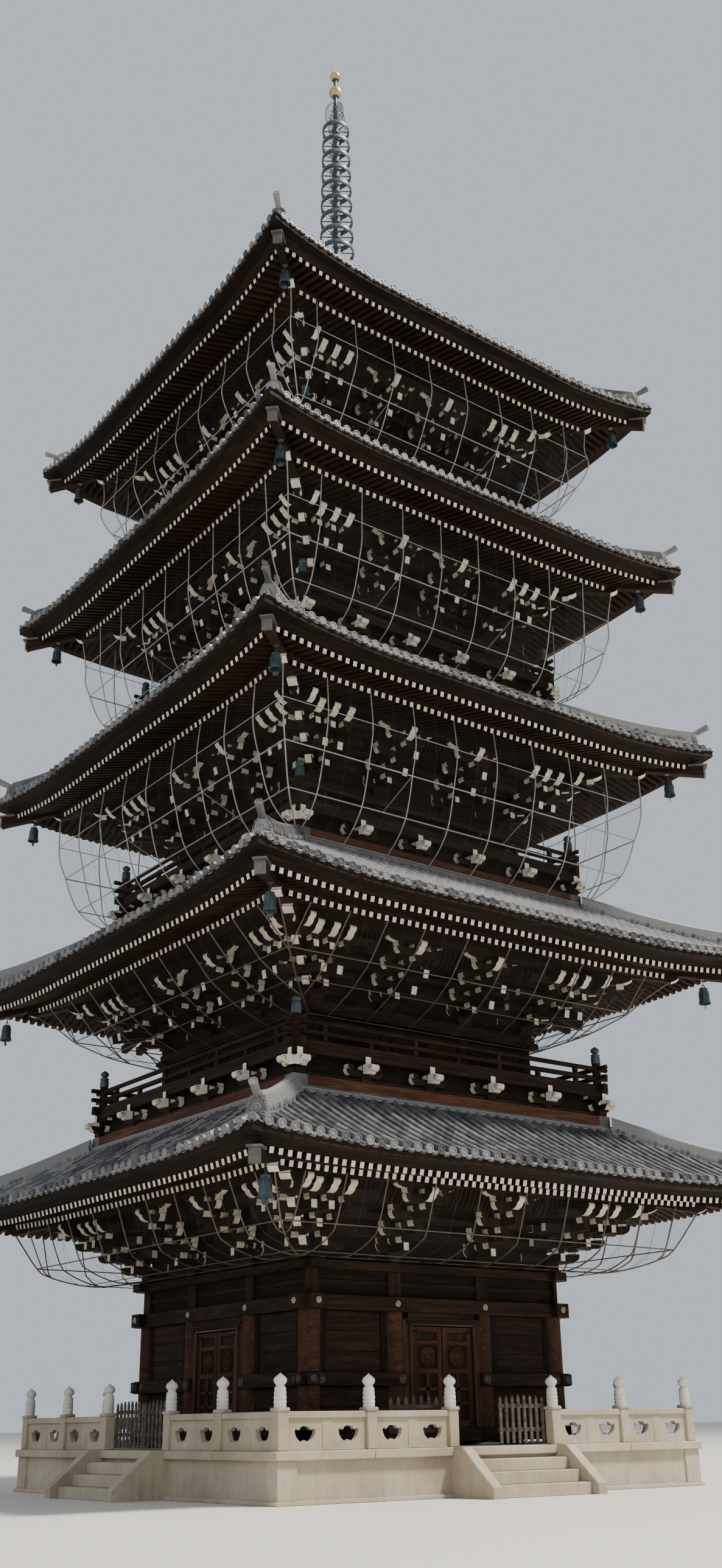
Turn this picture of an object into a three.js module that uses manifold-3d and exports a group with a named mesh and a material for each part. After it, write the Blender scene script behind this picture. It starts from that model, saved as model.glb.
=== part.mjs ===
// Five-storey timber pagoda on a stone platform, a model at half the real size.
// Millimetres, +Z up, ground at z = 0, axis of the tower at x = y = 0.
// The front faces -Y, and each side repeats it by quarter turns.

import * as THREE from 'three';
import { mergeVertices } from 'three/addons/utils/BufferGeometryUtils.js';
import Module from 'manifold-3d';

const wasm = await Module();
wasm.setup();

// Driving dimensions
const GAP = 0.3;
const PLATFORM = {
  plinthHalf: 2705,
  plinthTop: 36,
  bodyHalf: 2660,
  copingHalf: 2710,
  copingBottom: 355,
  top: 432,
};
const STAIR = {
  half: 600,
  stringer: 122,
  riser: 108,
  tread: 153,
  steps: 3,
  foot: 3250,
  footHeight: 95,
  crest: 2840,
};
const RAILING = {
  line: 2610,
  posts: [2610, 1632, 665],
  post: 108,
  postTop: 784,
  railBottom: 694,
  railTop: 755,
};
const GATE = {
  line: 2539,
  thick: 26,
  hinge: 616,
  pin: 2522,
  from: 600,
  to: 6,
  pickets: 8,
  picket: 38,
  bottom: 452,
  top: 876,
};
const PINTLE = { tops: [560, 774], high: 20, half: 8, strapHigh: 28, strapEnd: 560 };
const WALL = [1625, 1532, 1434, 1337, 1239];
const WALL_THICK = 60;
const PLATE_TOP = [2175, 4873, 7549, 10277, 12906];
const PLATE_OUT = 109;
const EAVE_CORNER = [3555, 3522, 3415, 3324, 3218];
const EAVE_MIDDLE_Z = [3013, 5657, 8337, 11079, 13697];
const EAVE_CORNER_Z = [3103, 5784, 8493, 11217, 13917];
const EAVE_BOW = 43;
const EAVE_BEND = 0.6;
const ROOF_TOP = [[2221, 3760], [2120, 6495], [2023, 9211], [1922, 11895], [361, 15840]];
const BASE_BEAM_HALF = [2214, 2117, 2020, 1920];
const BASE_BEAM_TOP = [3890, 6625, 9345, 12029];
const FLOOR_TOP = [4172, 6892, 9612, 12296];
const INNER_COLUMN = 596 / 1625;
const COLUMN = { radius: 112, upperRadius: 84, sides: 8 };
const DOOR = {
  half: 405,
  frame: 78,
  sill: 600,
  head: 1571,
  thick: 46,
  face: 1704,
  pivotX: 387,
  pivotY: 1695,
};
const CASING = { out: 16, in: 65 };
const NAGESHI = { bottom: 1698, top: 1842 };
const HOLE = { width: 225, bottom: 503, top: 632, offset: 230 };

// Colours read from the photograph
const STONE = new THREE.MeshStandardMaterial({ color: 0xcfc6b4, roughness: 0.85 });
const TIMBER = new THREE.MeshStandardMaterial({ color: 0x4a3222, roughness: 0.8 });
const DARK_TIMBER = new THREE.MeshStandardMaterial({ color: 0x2e2118, roughness: 0.85 });
const TILE = new THREE.MeshStandardMaterial({ color: 0x6d7278, roughness: 0.6 });
const STEEL = new THREE.MeshStandardMaterial({ color: 0x9aa09c, roughness: 0.5, metalness: 0.6 });
const BRONZE = new THREE.MeshStandardMaterial({ color: 0x3f5b5c, roughness: 0.6, metalness: 0.5 });

const root = new THREE.Group();

// Solids: a closed three.js geometry becomes a manifold, and back
function solid(geometry) {
  geometry.deleteAttribute('normal');
  geometry.deleteAttribute('uv');
  const merged = mergeVertices(geometry, 1e-3);
  return new wasm.Manifold(new wasm.Mesh({
    numProp: 3,
    vertProperties: new Float32Array(merged.attributes.position.array),
    triVerts: new Uint32Array(merged.index.array),
  }));
}

function join(...solids) {
  return solids.flat(Infinity).reduce((whole, piece) => whole.add(piece));
}

function addNode(name, shape, material) {
  const mesh = shape.getMesh();
  const geometry = new THREE.BufferGeometry();
  geometry.setAttribute('position', new THREE.BufferAttribute(new Float32Array(mesh.vertProperties), 3));
  geometry.setIndex(new THREE.BufferAttribute(new Uint32Array(mesh.triVerts), 1));
  const node = new THREE.Mesh(geometry, material);
  node.name = name;
  root.add(node);
  return node;
}

function box(x0, x1, y0, y1, z0, z1) {
  const geometry = new THREE.BoxGeometry(x1 - x0, y1 - y0, z1 - z0);
  geometry.translate((x0 + x1) / 2, (y0 + y1) / 2, (z0 + z1) / 2);
  return solid(geometry);
}

// A profile given in (y, z), drawn out along x
function drawnAlongX(points, x0, x1) {
  const shape = new THREE.Shape(points.map(([y, z]) => new THREE.Vector2(y, z)));
  const geometry = new THREE.ExtrudeGeometry(shape, { depth: x1 - x0, bevelEnabled: false });
  geometry.applyMatrix4(new THREE.Matrix4().makeBasis(
    new THREE.Vector3(0, 1, 0), new THREE.Vector3(0, 0, 1), new THREE.Vector3(1, 0, 0)));
  geometry.translate(x0, 0, 0);
  return solid(geometry);
}

// A shape given in (x, z), drawn out from y0 to y1
function drawnAlongY(shape, y0, y1) {
  const geometry = new THREE.ExtrudeGeometry(shape, { depth: y1 - y0, bevelEnabled: false });
  geometry.applyMatrix4(new THREE.Matrix4().makeBasis(
    new THREE.Vector3(1, 0, 0), new THREE.Vector3(0, 0, 1), new THREE.Vector3(0, -1, 0)));
  geometry.translate(0, y1, 0);
  return solid(geometry);
}

function turnedShape(points, x, y, sides) {
  const profile = points.map(([r, z]) => new THREE.Vector2(r, z));
  const geometry = new THREE.LatheGeometry(profile, sides);
  geometry.rotateX(Math.PI / 2);
  geometry.translate(x, y, 0);
  return solid(geometry);
}

function cylinder(radius, x, y, z0, z1, sides) {
  return turnedShape([[0, z0], [radius, z0], [radius, z1], [0, z1]], x, y, sides);
}

// Outer half of a post whose inner half is buried in a wall of the front side
function halfColumn(radius, x, y, z0, z1) {
  const points = [180, 225, 270, 315, 360].map((degrees) => {
    const angle = THREE.MathUtils.degToRad(degrees);
    return new THREE.Vector2(x + radius * Math.cos(angle), y + radius * Math.sin(angle));
  });
  const geometry = new THREE.ExtrudeGeometry(new THREE.Shape(points), { depth: z1 - z0, bevelEnabled: false });
  geometry.translate(0, 0, z0);
  return solid(geometry);
}

const quarter = (shape, turns) => shape.rotate([0, 0, 90 * turns]);
const mirrorX = (shape) => shape.mirror([1, 0, 0]);
const mirrorDiagonal = (shape) => shape.mirror([1, -1, 0]);

// A closed ring around the tower. section(u) gives its outline at the place u along a side, as
// [distance from the axis, z] pairs that run anticlockwise with the distance to the right; u is 0
// at the middle of a side and 1 at its corners. Each twisted face folds from its outer edge, so
// that rings which lie on each other fit.
function squareRing(section, stations) {
  const positions = [];
  const index = [];
  const around = 4 * stations.length;
  const outermost = section(1);
  const length = outermost.length;
  for (let side = 0; side < 4; side++) {
    for (const u of stations) {
      for (const [half, z] of section(Math.abs(u))) {
        const spot = new THREE.Vector3(u * half, -half, z);
        spot.applyAxisAngle(new THREE.Vector3(0, 0, 1), side * Math.PI / 2);
        positions.push(spot.x, spot.y, spot.z);
      }
    }
  }
  for (let i = 0; i < around; i++) {
    const next = (i + 1) % around;
    for (let j = 0; j < length; j++) {
      const k = (j + 1) % length;
      const [a, b] = [i * length + j, i * length + k];
      const [c, d] = [next * length + k, next * length + j];
      if (outermost[j][0] < outermost[k][0]) {
        index.push(a, d, b, d, c, b);
      } else {
        index.push(a, d, c, a, c, b);
      }
    }
  }
  const geometry = new THREE.BufferGeometry();
  geometry.setAttribute('position', new THREE.Float32BufferAttribute(positions, 3));
  geometry.setIndex(index);
  return solid(geometry);
}

function plainRing(outer, inner, z0, z1) {
  return squareRing(() => [[inner, z0], [outer, z0], [outer, z1], [inner, z1]], [-1]);
}

// A three-sided bar through points that lie in one upright plane. Its corners are given as
// [across, up] pairs, and its ends are upright where it is laid on a roof.
function threeSided(points, corners, upright) {
  const spots = points.map((p) => new THREE.Vector3(...p));
  const flat = new THREE.Vector3().subVectors(spots.at(-1), spots[0]).setZ(0).normalize();
  const across = new THREE.Vector3(-flat.y, flat.x, 0);
  const positions = [];
  const index = [];
  spots.forEach((spot, i) => {
    const before = spots[Math.max(i - 1, 0)];
    const after = spots[Math.min(i + 1, spots.length - 1)];
    const along = new THREE.Vector3().subVectors(after, before).normalize();
    const over = new THREE.Vector3(0, 0, 1);
    if (!upright) {
      over.crossVectors(along, across);
    }
    for (const [side, up] of corners) {
      const place = spot.clone().addScaledVector(across, side).addScaledVector(over, up);
      positions.push(place.x, place.y, place.z);
    }
  });
  const last = 3 * (spots.length - 1);
  for (let i = 0; i < last; i += 3) {
    for (let j = 0; j < 3; j++) {
      const k = (j + 1) % 3;
      index.push(i + j, i + k, i + 3 + k, i + j, i + 3 + k, i + 3 + j);
    }
  }
  index.push(0, 2, 1, last, last + 1, last + 2);
  const geometry = new THREE.BufferGeometry();
  geometry.setAttribute('position', new THREE.Float32BufferAttribute(positions, 3));
  geometry.setIndex(index);
  return solid(geometry);
}

function rod(points, radius) {
  return threeSided(points, [0, 120, 240].map((degrees) => {
    const angle = THREE.MathUtils.degToRad(degrees);
    return [radius * Math.cos(angle), radius * Math.sin(angle)];
  }), false);
}

// Stone platform with plinth, coping and corner pilasters
function platform() {
  const { plinthHalf, plinthTop, bodyHalf, copingHalf, copingBottom, top } = PLATFORM;
  const pilaster = { width: 210, proud: 20 };
  const outer = bodyHalf + pilaster.proud;
  const pieces = [
    box(-plinthHalf, plinthHalf, -plinthHalf, plinthHalf, 0, plinthTop),
    box(-bodyHalf, bodyHalf, -bodyHalf, bodyHalf, 0, copingBottom + 1),
    box(-copingHalf, copingHalf, -copingHalf, copingHalf, copingBottom, top),
  ];
  for (const sx of [-1, 1]) {
    for (const sy of [-1, 1]) {
      const [x0, x1] = [sx * outer, sx * (outer - pilaster.width)].sort((a, b) => a - b);
      const [y0, y1] = [sy * outer, sy * (outer - pilaster.width)].sort((a, b) => a - b);
      pieces.push(box(x0, x1, y0, y1, plinthTop - 1, copingBottom + 1));
    }
  }
  return join(pieces);
}

// One flight with a sloping stringer at each side
function stair() {
  const { half, stringer, riser, tread, foot, footHeight, crest, steps } = STAIR;
  const { plinthHalf, plinthTop, bodyHalf, copingHalf, copingBottom, top } = PLATFORM;
  const back = -bodyHalf - GAP;
  const overPlinth = plinthTop + GAP;
  const edge = -plinthHalf - GAP;
  const overPlinthFoot = [[back, overPlinth], [edge, overPlinth], [edge, 0]];
  const outline = [];
  for (let i = 0; i < steps; i++) {
    const nose = -copingHalf - (steps - i) * tread;
    outline.push([nose, i * riser], [nose, (i + 1) * riser]);
  }
  outline.push([back, steps * riser], ...overPlinthFoot);
  const side = [
    [-foot, 0], [-foot, footHeight], [-crest, top], [-copingHalf - GAP, top],
    [-copingHalf - GAP, copingBottom - GAP], [back, copingBottom - GAP], ...overPlinthFoot,
  ];
  return join(
    drawnAlongX(outline, -half - 1, half + 1),
    drawnAlongX(side, -half - stringer, -half),
    drawnAlongX(side, half, half + stringer),
  );
}

// Three-lobed cut-out of a balustrade panel
function lobedHole(x) {
  const { width, bottom, top } = HOLE;
  const w = width / 2;
  const height = top - bottom;
  return new THREE.Shape([
    [x - 0.5 * w, bottom], [x + 0.5 * w, bottom], [x + w, bottom + 0.7 * height],
    [x + 0.3 * w, top], [x - 0.3 * w, top], [x - w, bottom + 0.7 * height],
  ].map(([px, pz]) => new THREE.Vector2(px, pz)));
}

// Balustrade of one corner: an arm along each of two sides, with jewel-topped posts
function balustrade() {
  const { line, posts, post, postTop, railBottom, railTop } = RAILING;
  const floor = PLATFORM.top + GAP;
  const [corner, middle, gate] = posts;
  const panelThick = 50;
  const railWide = 92;
  const [outside, inside] = [-line - panelThick, -line + panelThick];
  let panel = box(-corner, -gate, -line - panelThick / 2, -line + panelThick / 2, floor, railBottom + 1);
  for (const [from, to] of [[corner, middle], [middle, gate]]) {
    for (const offset of [-HOLE.offset, HOLE.offset]) {
      panel = panel.subtract(drawnAlongY(lobedHole(offset - (from + to) / 2), outside, inside));
    }
  }
  const arm = join(
    panel,
    box(-corner, -gate, -line - railWide / 2, -line + railWide / 2, railBottom, railTop),
  );
  const jewel = { neck: 967, widest: 1005, tip: 1076 };
  const head = [[0, postTop - 1], [50, postTop - 1], [46, jewel.neck], [60, jewel.widest], [0, jewel.tip]];
  const standing = (x, y) => join(
    box(x - post / 2, x + post / 2, y - post / 2, y + post / 2, floor, postTop),
    turnedShape(head, x, y, 5),
  );
  const pintles = PINTLE.tops.map((z) => box(
    -GATE.hinge - PINTLE.half, -GATE.hinge + PINTLE.half,
    -line + post / 2 - 1, -GATE.pin + PINTLE.half, z - PINTLE.high, z));
  return join(
    arm, mirrorDiagonal(arm), pintles, pintles.map(mirrorDiagonal),
    standing(-corner, -line), standing(-middle, -line), standing(-gate, -line),
    standing(-line, -middle), standing(-line, -gate),
  );
}

// The straps that rest on a gate's pintles
function gateStraps() {
  const { line, thick, hinge, pin } = GATE;
  const { tops, half, strapHigh, strapEnd } = PINTLE;
  return tops.map((z) =>
    box(-hinge - half, -strapEnd, -line + thick / 2 - 1, -pin + half, z + GAP, z + strapHigh));
}

// Picket leaf to the left of a gate's middle, closed, on the inner side of its posts
function gateLeaf() {
  const { line, thick, from, to, pickets, picket, bottom, top } = GATE;
  const [outside, inside] = [-line - thick / 2, -line + thick / 2];
  const half = picket / 2;
  const rails = [574, 788];
  const crown = 18;
  const pitch = (from - to - picket) / (pickets - 1);
  const pieces = rails.map((z) => box(-from + half, -to - half, outside, inside, z - half, z + half));
  for (let i = 0; i < pickets; i++) {
    const x = -from + half + i * pitch;
    const high = top + crown * Math.sin(Math.PI * i / (pickets - 1));
    pieces.push(box(x - half, x + half, outside, inside, bottom, high));
  }
  return join(pieces, gateStraps());
}

// Closed pair of gate leaves as one slotted panel, tied by its bar and hung on the same pintles
function gatePair() {
  const { line, thick, from, to, pickets, picket, bottom, top } = GATE;
  const pitch = (from - to - picket) / (pickets - 1);
  const slot = { low: 593, high: 769 };
  let leaf = box(-from, to, -line - thick / 2, -line + thick / 2, bottom, top);
  for (let i = 0; i < pickets - 1; i++) {
    const x = -from + picket + i * pitch;
    leaf = leaf.subtract(box(x, x + pitch - picket, -line - thick, -line + thick, slot.low, slot.high));
  }
  const half = join(leaf, gateStraps());
  return join(half, mirrorX(half));
}

// Ground storey: walls, posts and beams around one corner, up to the tie beam over the doors
function cornerWall() {
  const w = WALL[0];
  const base = PLATFORM.top + GAP;
  const top = NAGESHI.bottom;
  const jamb = DOOR.half + DOOR.frame;
  const slab = { out: 50, in: 50 };
  const sill = { bottom: 470, top: 600, out: 115, in: 60 };
  const waist = { bottom: 990, top: 1120, out: 127, in: 20, end: 1790, stop: 498 };
  const arm = join(
    box(-w, -jamb, -w - slab.out, -w + slab.in, sill.bottom, top),
    box(-w - sill.out, -jamb, -w - sill.out, -w + sill.in, sill.bottom, sill.top),
    box(-waist.end, -waist.stop, -w - waist.out, -w + waist.in, waist.bottom, waist.top),
    box(-jamb - 1, -DOOR.half, -DOOR.face - CASING.out, -w + CASING.in, sill.top, DOOR.head),
  );
  const inner = w * INNER_COLUMN;
  const column = (x, y) => cylinder(COLUMN.radius, x, y, base, top, COLUMN.sides);
  return join(arm, mirrorDiagonal(arm), column(-w, -w), column(-inner, -w), column(-w, -inner));
}

// Four beams that run past each other at the corners
function crossingBeams(end, outer, inner, z0, z1) {
  return join([0, 1, 2, 3].map((side) => quarter(box(-end, end, -outer, -inner, z0, z1), side)));
}

// Tie beams, frieze and top plate over the ground storey, with the lintels of its four doorways
function headRing() {
  const w = WALL[0];
  const bottom = NAGESHI.bottom + GAP;
  const plate = { bottom: 2085, end: 1825 };
  const jamb = DOOR.half + DOOR.frame;
  const frieze = 60;
  const inside = w - CASING.in;
  const pieces = [
    plainRing(w + frieze, inside, NAGESHI.top - 1, plate.bottom + 1),
    crossingBeams(plate.end, w + PLATE_OUT, inside, bottom, NAGESHI.top),
    crossingBeams(plate.end, w + PLATE_OUT, inside, plate.bottom, PLATE_TOP[0]),
  ];
  const lintel = box(-jamb, jamb, -DOOR.face - CASING.out, -inside, DOOR.head + GAP, bottom + 1);
  for (let side = 0; side < 4; side++) {
    pieces.push(quarter(lintel, side));
  }
  return join(pieces);
}

// Board floor of the ground storey with its sleepers and the four door sills
function groundFloor() {
  const inside = WALL[0] - COLUMN.radius - 1;
  const boards = { bottom: 540, top: 590 };
  const sleeper = { half: 60, reach: inside - 20, places: [-1200, 0, 1200] };
  const sill = { bottom: 470, out: 115 };
  const foot = PLATFORM.top + GAP;
  const jamb = DOOR.half + DOOR.frame - GAP;
  const pieces = [box(-inside, inside, -inside, inside, boards.bottom, boards.top)];
  for (const x of sleeper.places) {
    const [x0, x1] = [x - sleeper.half, x + sleeper.half];
    pieces.push(box(x0, x1, -sleeper.reach, sleeper.reach, foot, boards.bottom + 1));
  }
  const doorSill = box(-jamb, jamb, -WALL[0] - sill.out, -inside + 1, sill.bottom, DOOR.sill - GAP);
  for (let side = 0; side < 4; side++) {
    pieces.push(quarter(doorSill, side));
  }
  return join(pieces);
}

// Panelled door leaf to the left of a doorway's middle, closed
function doorLeaf() {
  const { half, sill, head, thick, face, pivotX, pivotY } = DOOR;
  const [x0, x1] = [-half + 9, -6];
  const [z0, z1] = [sill + 6, head - 6];
  const stile = 72;
  const recess = 20;
  const panels = [[z1 - 190, z1 - 70], [z1 - 470, z1 - 240], [z0 + 70, z1 - 520]];
  let leaf = box(x0, x1, -face, -face + thick, z0, z1);
  for (const [low, high] of panels) {
    leaf = leaf.subtract(box(x0 + stile, x1 - stile, -face - 1, -face + recess, low, high));
  }
  const pivotRadius = 8;
  return leaf.add(cylinder(pivotRadius, -pivotX, -pivotY, sill, head, 6));
}

function doorPair() {
  const leaf = doorLeaf();
  const bar = box(-60, 60, -DOOR.face + 10, -DOOR.face + 30, 1000, 1040);
  return join(leaf, mirrorX(leaf), bar);
}

// Height of a roof's eave at the place u along a side, and how far out it stands there. Past the
// bend it rises and runs out to the corner.
function eave(storey, u) {
  const rise = Math.max(0, (u - EAVE_BEND) / (1 - EAVE_BEND));
  return {
    z: EAVE_MIDDLE_Z[storey] + (EAVE_CORNER_Z[storey] - EAVE_MIDDLE_Z[storey]) * rise,
    half: EAVE_CORNER[storey] - EAVE_BOW * (1 - rise),
  };
}

const EAVE_STATIONS = [-1, -EAVE_BEND, EAVE_BEND];
const TILES = {
  overEave: 40,
  rowHigh: 55,
  rowHalf: 42,
  bedded: 12,
  ledge: 45,
  wide: 150,
  setBack: 2,
  rows: [-1680, -840, 0, 840, 1680],
};
const TILE_SHARES = [[0, 0.4], [0, 0.4], [0, 0.4], [0, 0.4], [0, 0.35, 0.7]];
const RIDGE = {
  half: 80,
  high: 130,
  bedded: 110,
  start: 20,
  fall: 300,
  inside: 170,
  horn: 120,
  hornTop: 300,
  hornHigh: 130,
};
const BED = { inside: 120, drop: 62, edgeDrop: 130 };
const RAFTER = { flying: 228, flyingDrop: 218, base: 657, baseDrop: 200, slope: 0.3 };
const PURLIN = { out: 660, wide: 100, high: 96 };
const HIP = { tip: 110, top: 243, bottom: 380, cover: 30 };
const BELL = { inside: 437, top: 407 };

// Where the bed of a roof begins, just outside the walls that stand on the rafters
function seatInner(storey) {
  const nextWall = storey < 4 ? WALL[storey + 1] : WALL[storey] - 95;
  return nextWall + WALL_THICK + 4;
}

// Where the top of the rafters seats the next storey's walls
function seatHeight(storey) {
  const run = EAVE_CORNER[storey] - RAFTER.base - WALL[storey];
  return EAVE_MIDDLE_Z[storey] - 60 + run * RAFTER.slope;
}

// Underside of the rafters at a distance from the axis, at mid-side
function rafterUnderside(storey, half) {
  const end = EAVE_CORNER[storey] - RAFTER.base;
  return EAVE_MIDDLE_Z[storey] - RAFTER.baseDrop + (end - half) * RAFTER.slope;
}

// The bracket set and hip rafter that run out under a corner, for the front left one
function cornerArm(storey) {
  const foot = PLATE_TOP[storey] + GAP;
  const out = (inside) => -(EAVE_CORNER[storey] - inside) * Math.SQRT2;
  const drop = (down) => EAVE_CORNER_Z[storey] - down;
  const inner = -WALL[storey] * Math.SQRT2;
  const wide = 104;
  const outline = [
    [out(HIP.tip), drop(HIP.bottom)], [out(HIP.tip), drop(HIP.top)],
    [inner, Math.min(drop(HIP.top) + 0.14 * (inner - out(HIP.tip)), seatHeight(storey) - HIP.cover)],
    [inner, foot + 1], [inner - 240, foot + 1], [out(560), drop(340)],
  ];
  return drawnAlongX(outline, -wide / 2, wide / 2).rotate([0, 0, -45]);
}

// Bronze bell under the hip rafter of the front left corner
function bell(storey) {
  const place = EAVE_CORNER[storey] - BELL.inside;
  const top = EAVE_CORNER_Z[storey] - BELL.top;
  const profile = [
    [0, top - 264], [64, top - 240], [46, top], [10, top], [10, top + 130], [0, top + 130],
  ];
  return turnedShape(profile, -place, -place, 5);
}

// Wall zone, ceilings and rafters of one storey's eaves, as one ring
function rafterBed(storey) {
  const w = WALL[storey];
  const foot = PLATE_TOP[storey] + GAP;
  const seat = seatHeight(storey);
  const high = rafterUnderside(storey, w) - foot;
  const purlin = w + PURLIN.out;
  return squareRing((u) => {
    const { z, half } = eave(storey, u);
    const outer = half - RAFTER.base;
    return [
      [w - WALL_THICK, foot],
      [w + 170, foot],
      [w + 170, foot + 0.22 * high],
      [purlin, rafterUnderside(storey, purlin) - PURLIN.high],
      [purlin + PURLIN.wide, rafterUnderside(storey, purlin + PURLIN.wide) - PURLIN.high],
      [outer, z - RAFTER.baseDrop],
      [outer + 1, z - 112],
      [half - RAFTER.flying, z - RAFTER.flyingDrop],
      [half - BED.inside, z - BED.edgeDrop],
      [half - BED.inside, z - BED.drop],
      [seatInner(storey), seat],
      [seatInner(storey) - 2 * WALL_THICK, seat],
    ];
  }, EAVE_STATIONS);
}

// One storey's eaves, with brackets, hip rafters and bells
function eaves(storey) {
  const pieces = [rafterBed(storey)];
  for (let side = 0; side < 4; side++) {
    pieces.push(quarter(join(cornerArm(storey), bell(storey)), side));
  }
  return join(pieces);
}

// Crest of the round tiles of a roof: above the eave at the place u along a side, and further up at
// the given share of the way to the roof's top
function crest(storey, u, share) {
  const { z } = eave(storey, u);
  const start = z + TILES.overEave;
  const bend = storey < 4 ? 0.8 : 0.62;
  return start + (ROOF_TOP[storey][1] - start) * (bend * share + (1 - bend) * share * share);
}

// One of the main rows of round tiles, at the place x along the front side. It lies on the flat
// tiles, from the eave to the top or to the hip ridge.
function tileRow(storey, x) {
  const topHalf = ROOF_TOP[storey][0];
  const end = Math.max(topHalf + TILES.ledge - 2, Math.abs(x) + RIDGE.half / 2);
  const spots = [];
  for (const share of [...TILE_SHARES[storey], 1]) {
    const outer = eave(storey, Math.abs(x) / EAVE_CORNER[storey]).half;
    const inset = share > 0 ? 0 : TILES.setBack;
    const distance = Math.max(outer - inset - share * (outer - topHalf), end);
    const { half } = eave(storey, Math.min(1, Math.abs(x) / distance));
    const reached = Math.max(0, (half - distance) / (half - topHalf));
    spots.push([distance, crest(storey, Math.min(1, Math.abs(x) / distance), reached)]);
    if (distance === end) {
      break;
    }
  }
  const foot = -TILES.rowHigh - TILES.bedded;
  return threeSided(
    spots.map(([distance, z]) => [x, -distance, z]),
    [[0, 0], [-TILES.rowHalf, foot], [TILES.rowHalf, foot]],
    true,
  );
}

// Ridge over the front left hip, with the raised tile at its end. It falls to the tiles at its top,
// under the foot of the net's hoop.
function hipRidge(storey) {
  const topHalf = ROOF_TOP[storey][0];
  const corner = EAVE_CORNER[storey];
  const tip = corner - RIDGE.inside;
  const top = (distance) => {
    const { half } = eave(storey, 1);
    return crest(storey, 1, (half - distance) / (half - topHalf));
  };
  const out = (distance) => -distance * Math.SQRT2;
  const foot = (distance) => [out(distance), top(distance) - RIDGE.bedded];
  const over = (distance) => [out(distance), top(distance) + RIDGE.high];
  const hornTop = EAVE_CORNER_Z[storey] + RIDGE.hornTop;
  const bends = storey < 4 ? [] : [(topHalf + tip) / 2];
  const outline = [
    foot(topHalf + RIDGE.start), ...bends.map(foot), foot(tip), [out(tip), hornTop - RIDGE.hornHigh],
    [out(tip) - RIDGE.horn, hornTop], over(tip - RIDGE.horn), ...bends.map(over), over(topHalf + RIDGE.fall),
    [out(topHalf + RIDGE.start), top(topHalf + RIDGE.start)],
  ];
  return drawnAlongX(outline, -RIDGE.half, RIDGE.half).rotate([0, 0, -45]);
}

// Tiled roof of one storey: solid from the rafters up to the flat tiles, with the main rows of round
// tiles and the hip ridges on it
function roof(storey) {
  const [topHalf, topZ] = ROOF_TOP[storey];
  const inner = topHalf - TILES.wide;
  const shell = squareRing((u) => {
    const { z, half } = eave(storey, u);
    return [
      [seatInner(storey), seatHeight(storey) + GAP],
      [half - BED.inside, z - BED.drop + GAP],
      [half, z - 40],
      ...TILE_SHARES[storey].map((share) =>
        [half - (half - topHalf) * share, crest(storey, u, share) - TILES.rowHigh]),
      [topHalf + TILES.ledge, crest(storey, u, 1 - TILES.ledge / (half - topHalf)) - TILES.rowHigh],
      [topHalf + TILES.ledge, topZ],
      [inner, topZ],
    ];
  }, EAVE_STATIONS);
  const dressing = [0, 1, 2, 3].map((side) =>
    quarter(join(TILES.rows.map((x) => tileRow(storey, x)), hipRidge(storey)), side));
  return join(shell, dressing);
}

// Walls, posts and beams of an upper storey, from the rafters below to its top plate
function upperWalls(storey) {
  const w = WALL[storey];
  const top = PLATE_TOP[storey];
  const floor = FLOOR_TOP[storey - 1];
  const tieBottom = top - 138;
  const pieces = [
    plainRing(w + WALL_THICK, w - WALL_THICK, seatHeight(storey - 1) + GAP, top - 1),
    plainRing(w + PLATE_OUT, w - WALL_THICK - 1, tieBottom, top),
  ];
  const [foot, head] = [floor + GAP, tieBottom + 1];
  const columns = join(
    cylinder(COLUMN.upperRadius, -w, -w, foot, head, COLUMN.sides),
    [-1, 1].map((side) => halfColumn(COLUMN.upperRadius, side * w * INNER_COLUMN, -w, foot, head)),
  );
  return join(pieces, [0, 1, 2, 3].map((side) => quarter(columns, side)));
}

// Balcony of an upper storey: base beam on the roof below, brackets, floor and railing
function balcony(storey) {
  const k = storey - 1;
  const beamHalf = BASE_BEAM_HALF[k];
  const beamTop = BASE_BEAM_TOP[k];
  const floor = FLOOR_TOP[k];
  const line = beamHalf - 76;
  const railWide = 56;
  const rails = [[0, 98], [264, 311]];
  const slab = 52;
  const beamIn = -beamHalf + 110;
  const beamFoot = Math.max(beamTop - 112, ROOF_TOP[k][1] + GAP);
  const pieces = [
    plainRing(beamHalf, -beamIn, beamFoot, beamTop),
    plainRing(beamHalf, WALL[storey] + WALL_THICK + GAP, floor - slab, floor),
  ];
  for (const [low, high] of rails) {
    pieces.push(plainRing(line + railWide / 2, line - railWide / 2, floor + low - 1, floor + high));
  }
  const post = { half: 50, high: 365, neck: 40, widest: 46, widestAt: 430, tip: 556 };
  const inset = 3;
  const stub = {
    half: 35,
    place: 0.39 * beamHalf,
    face: -beamHalf + inset,
    back: beamIn - inset,
    top: floor - slab + 1,
  };
  const [outer, inner] = [-line - post.half, -line + post.half];
  const finial = [
    [0, floor + post.high - 1], [post.neck, floor + post.high - 1],
    [post.widest, floor + post.widestAt], [0, floor + post.tip],
  ];
  const corner = join(
    [-stub.place, stub.place].map((x) =>
      box(x - stub.half, x + stub.half, stub.face, stub.back, beamTop - 1, stub.top)),
    box(stub.face, stub.back, stub.face, stub.back, beamTop - 1, stub.top),
    box(outer, inner, outer, inner, floor - 1, floor + post.high),
    turnedShape(finial, -line, -line, 5),
  );
  return join(pieces, [0, 1, 2, 3].map((side) => quarter(corner, side)));
}

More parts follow.
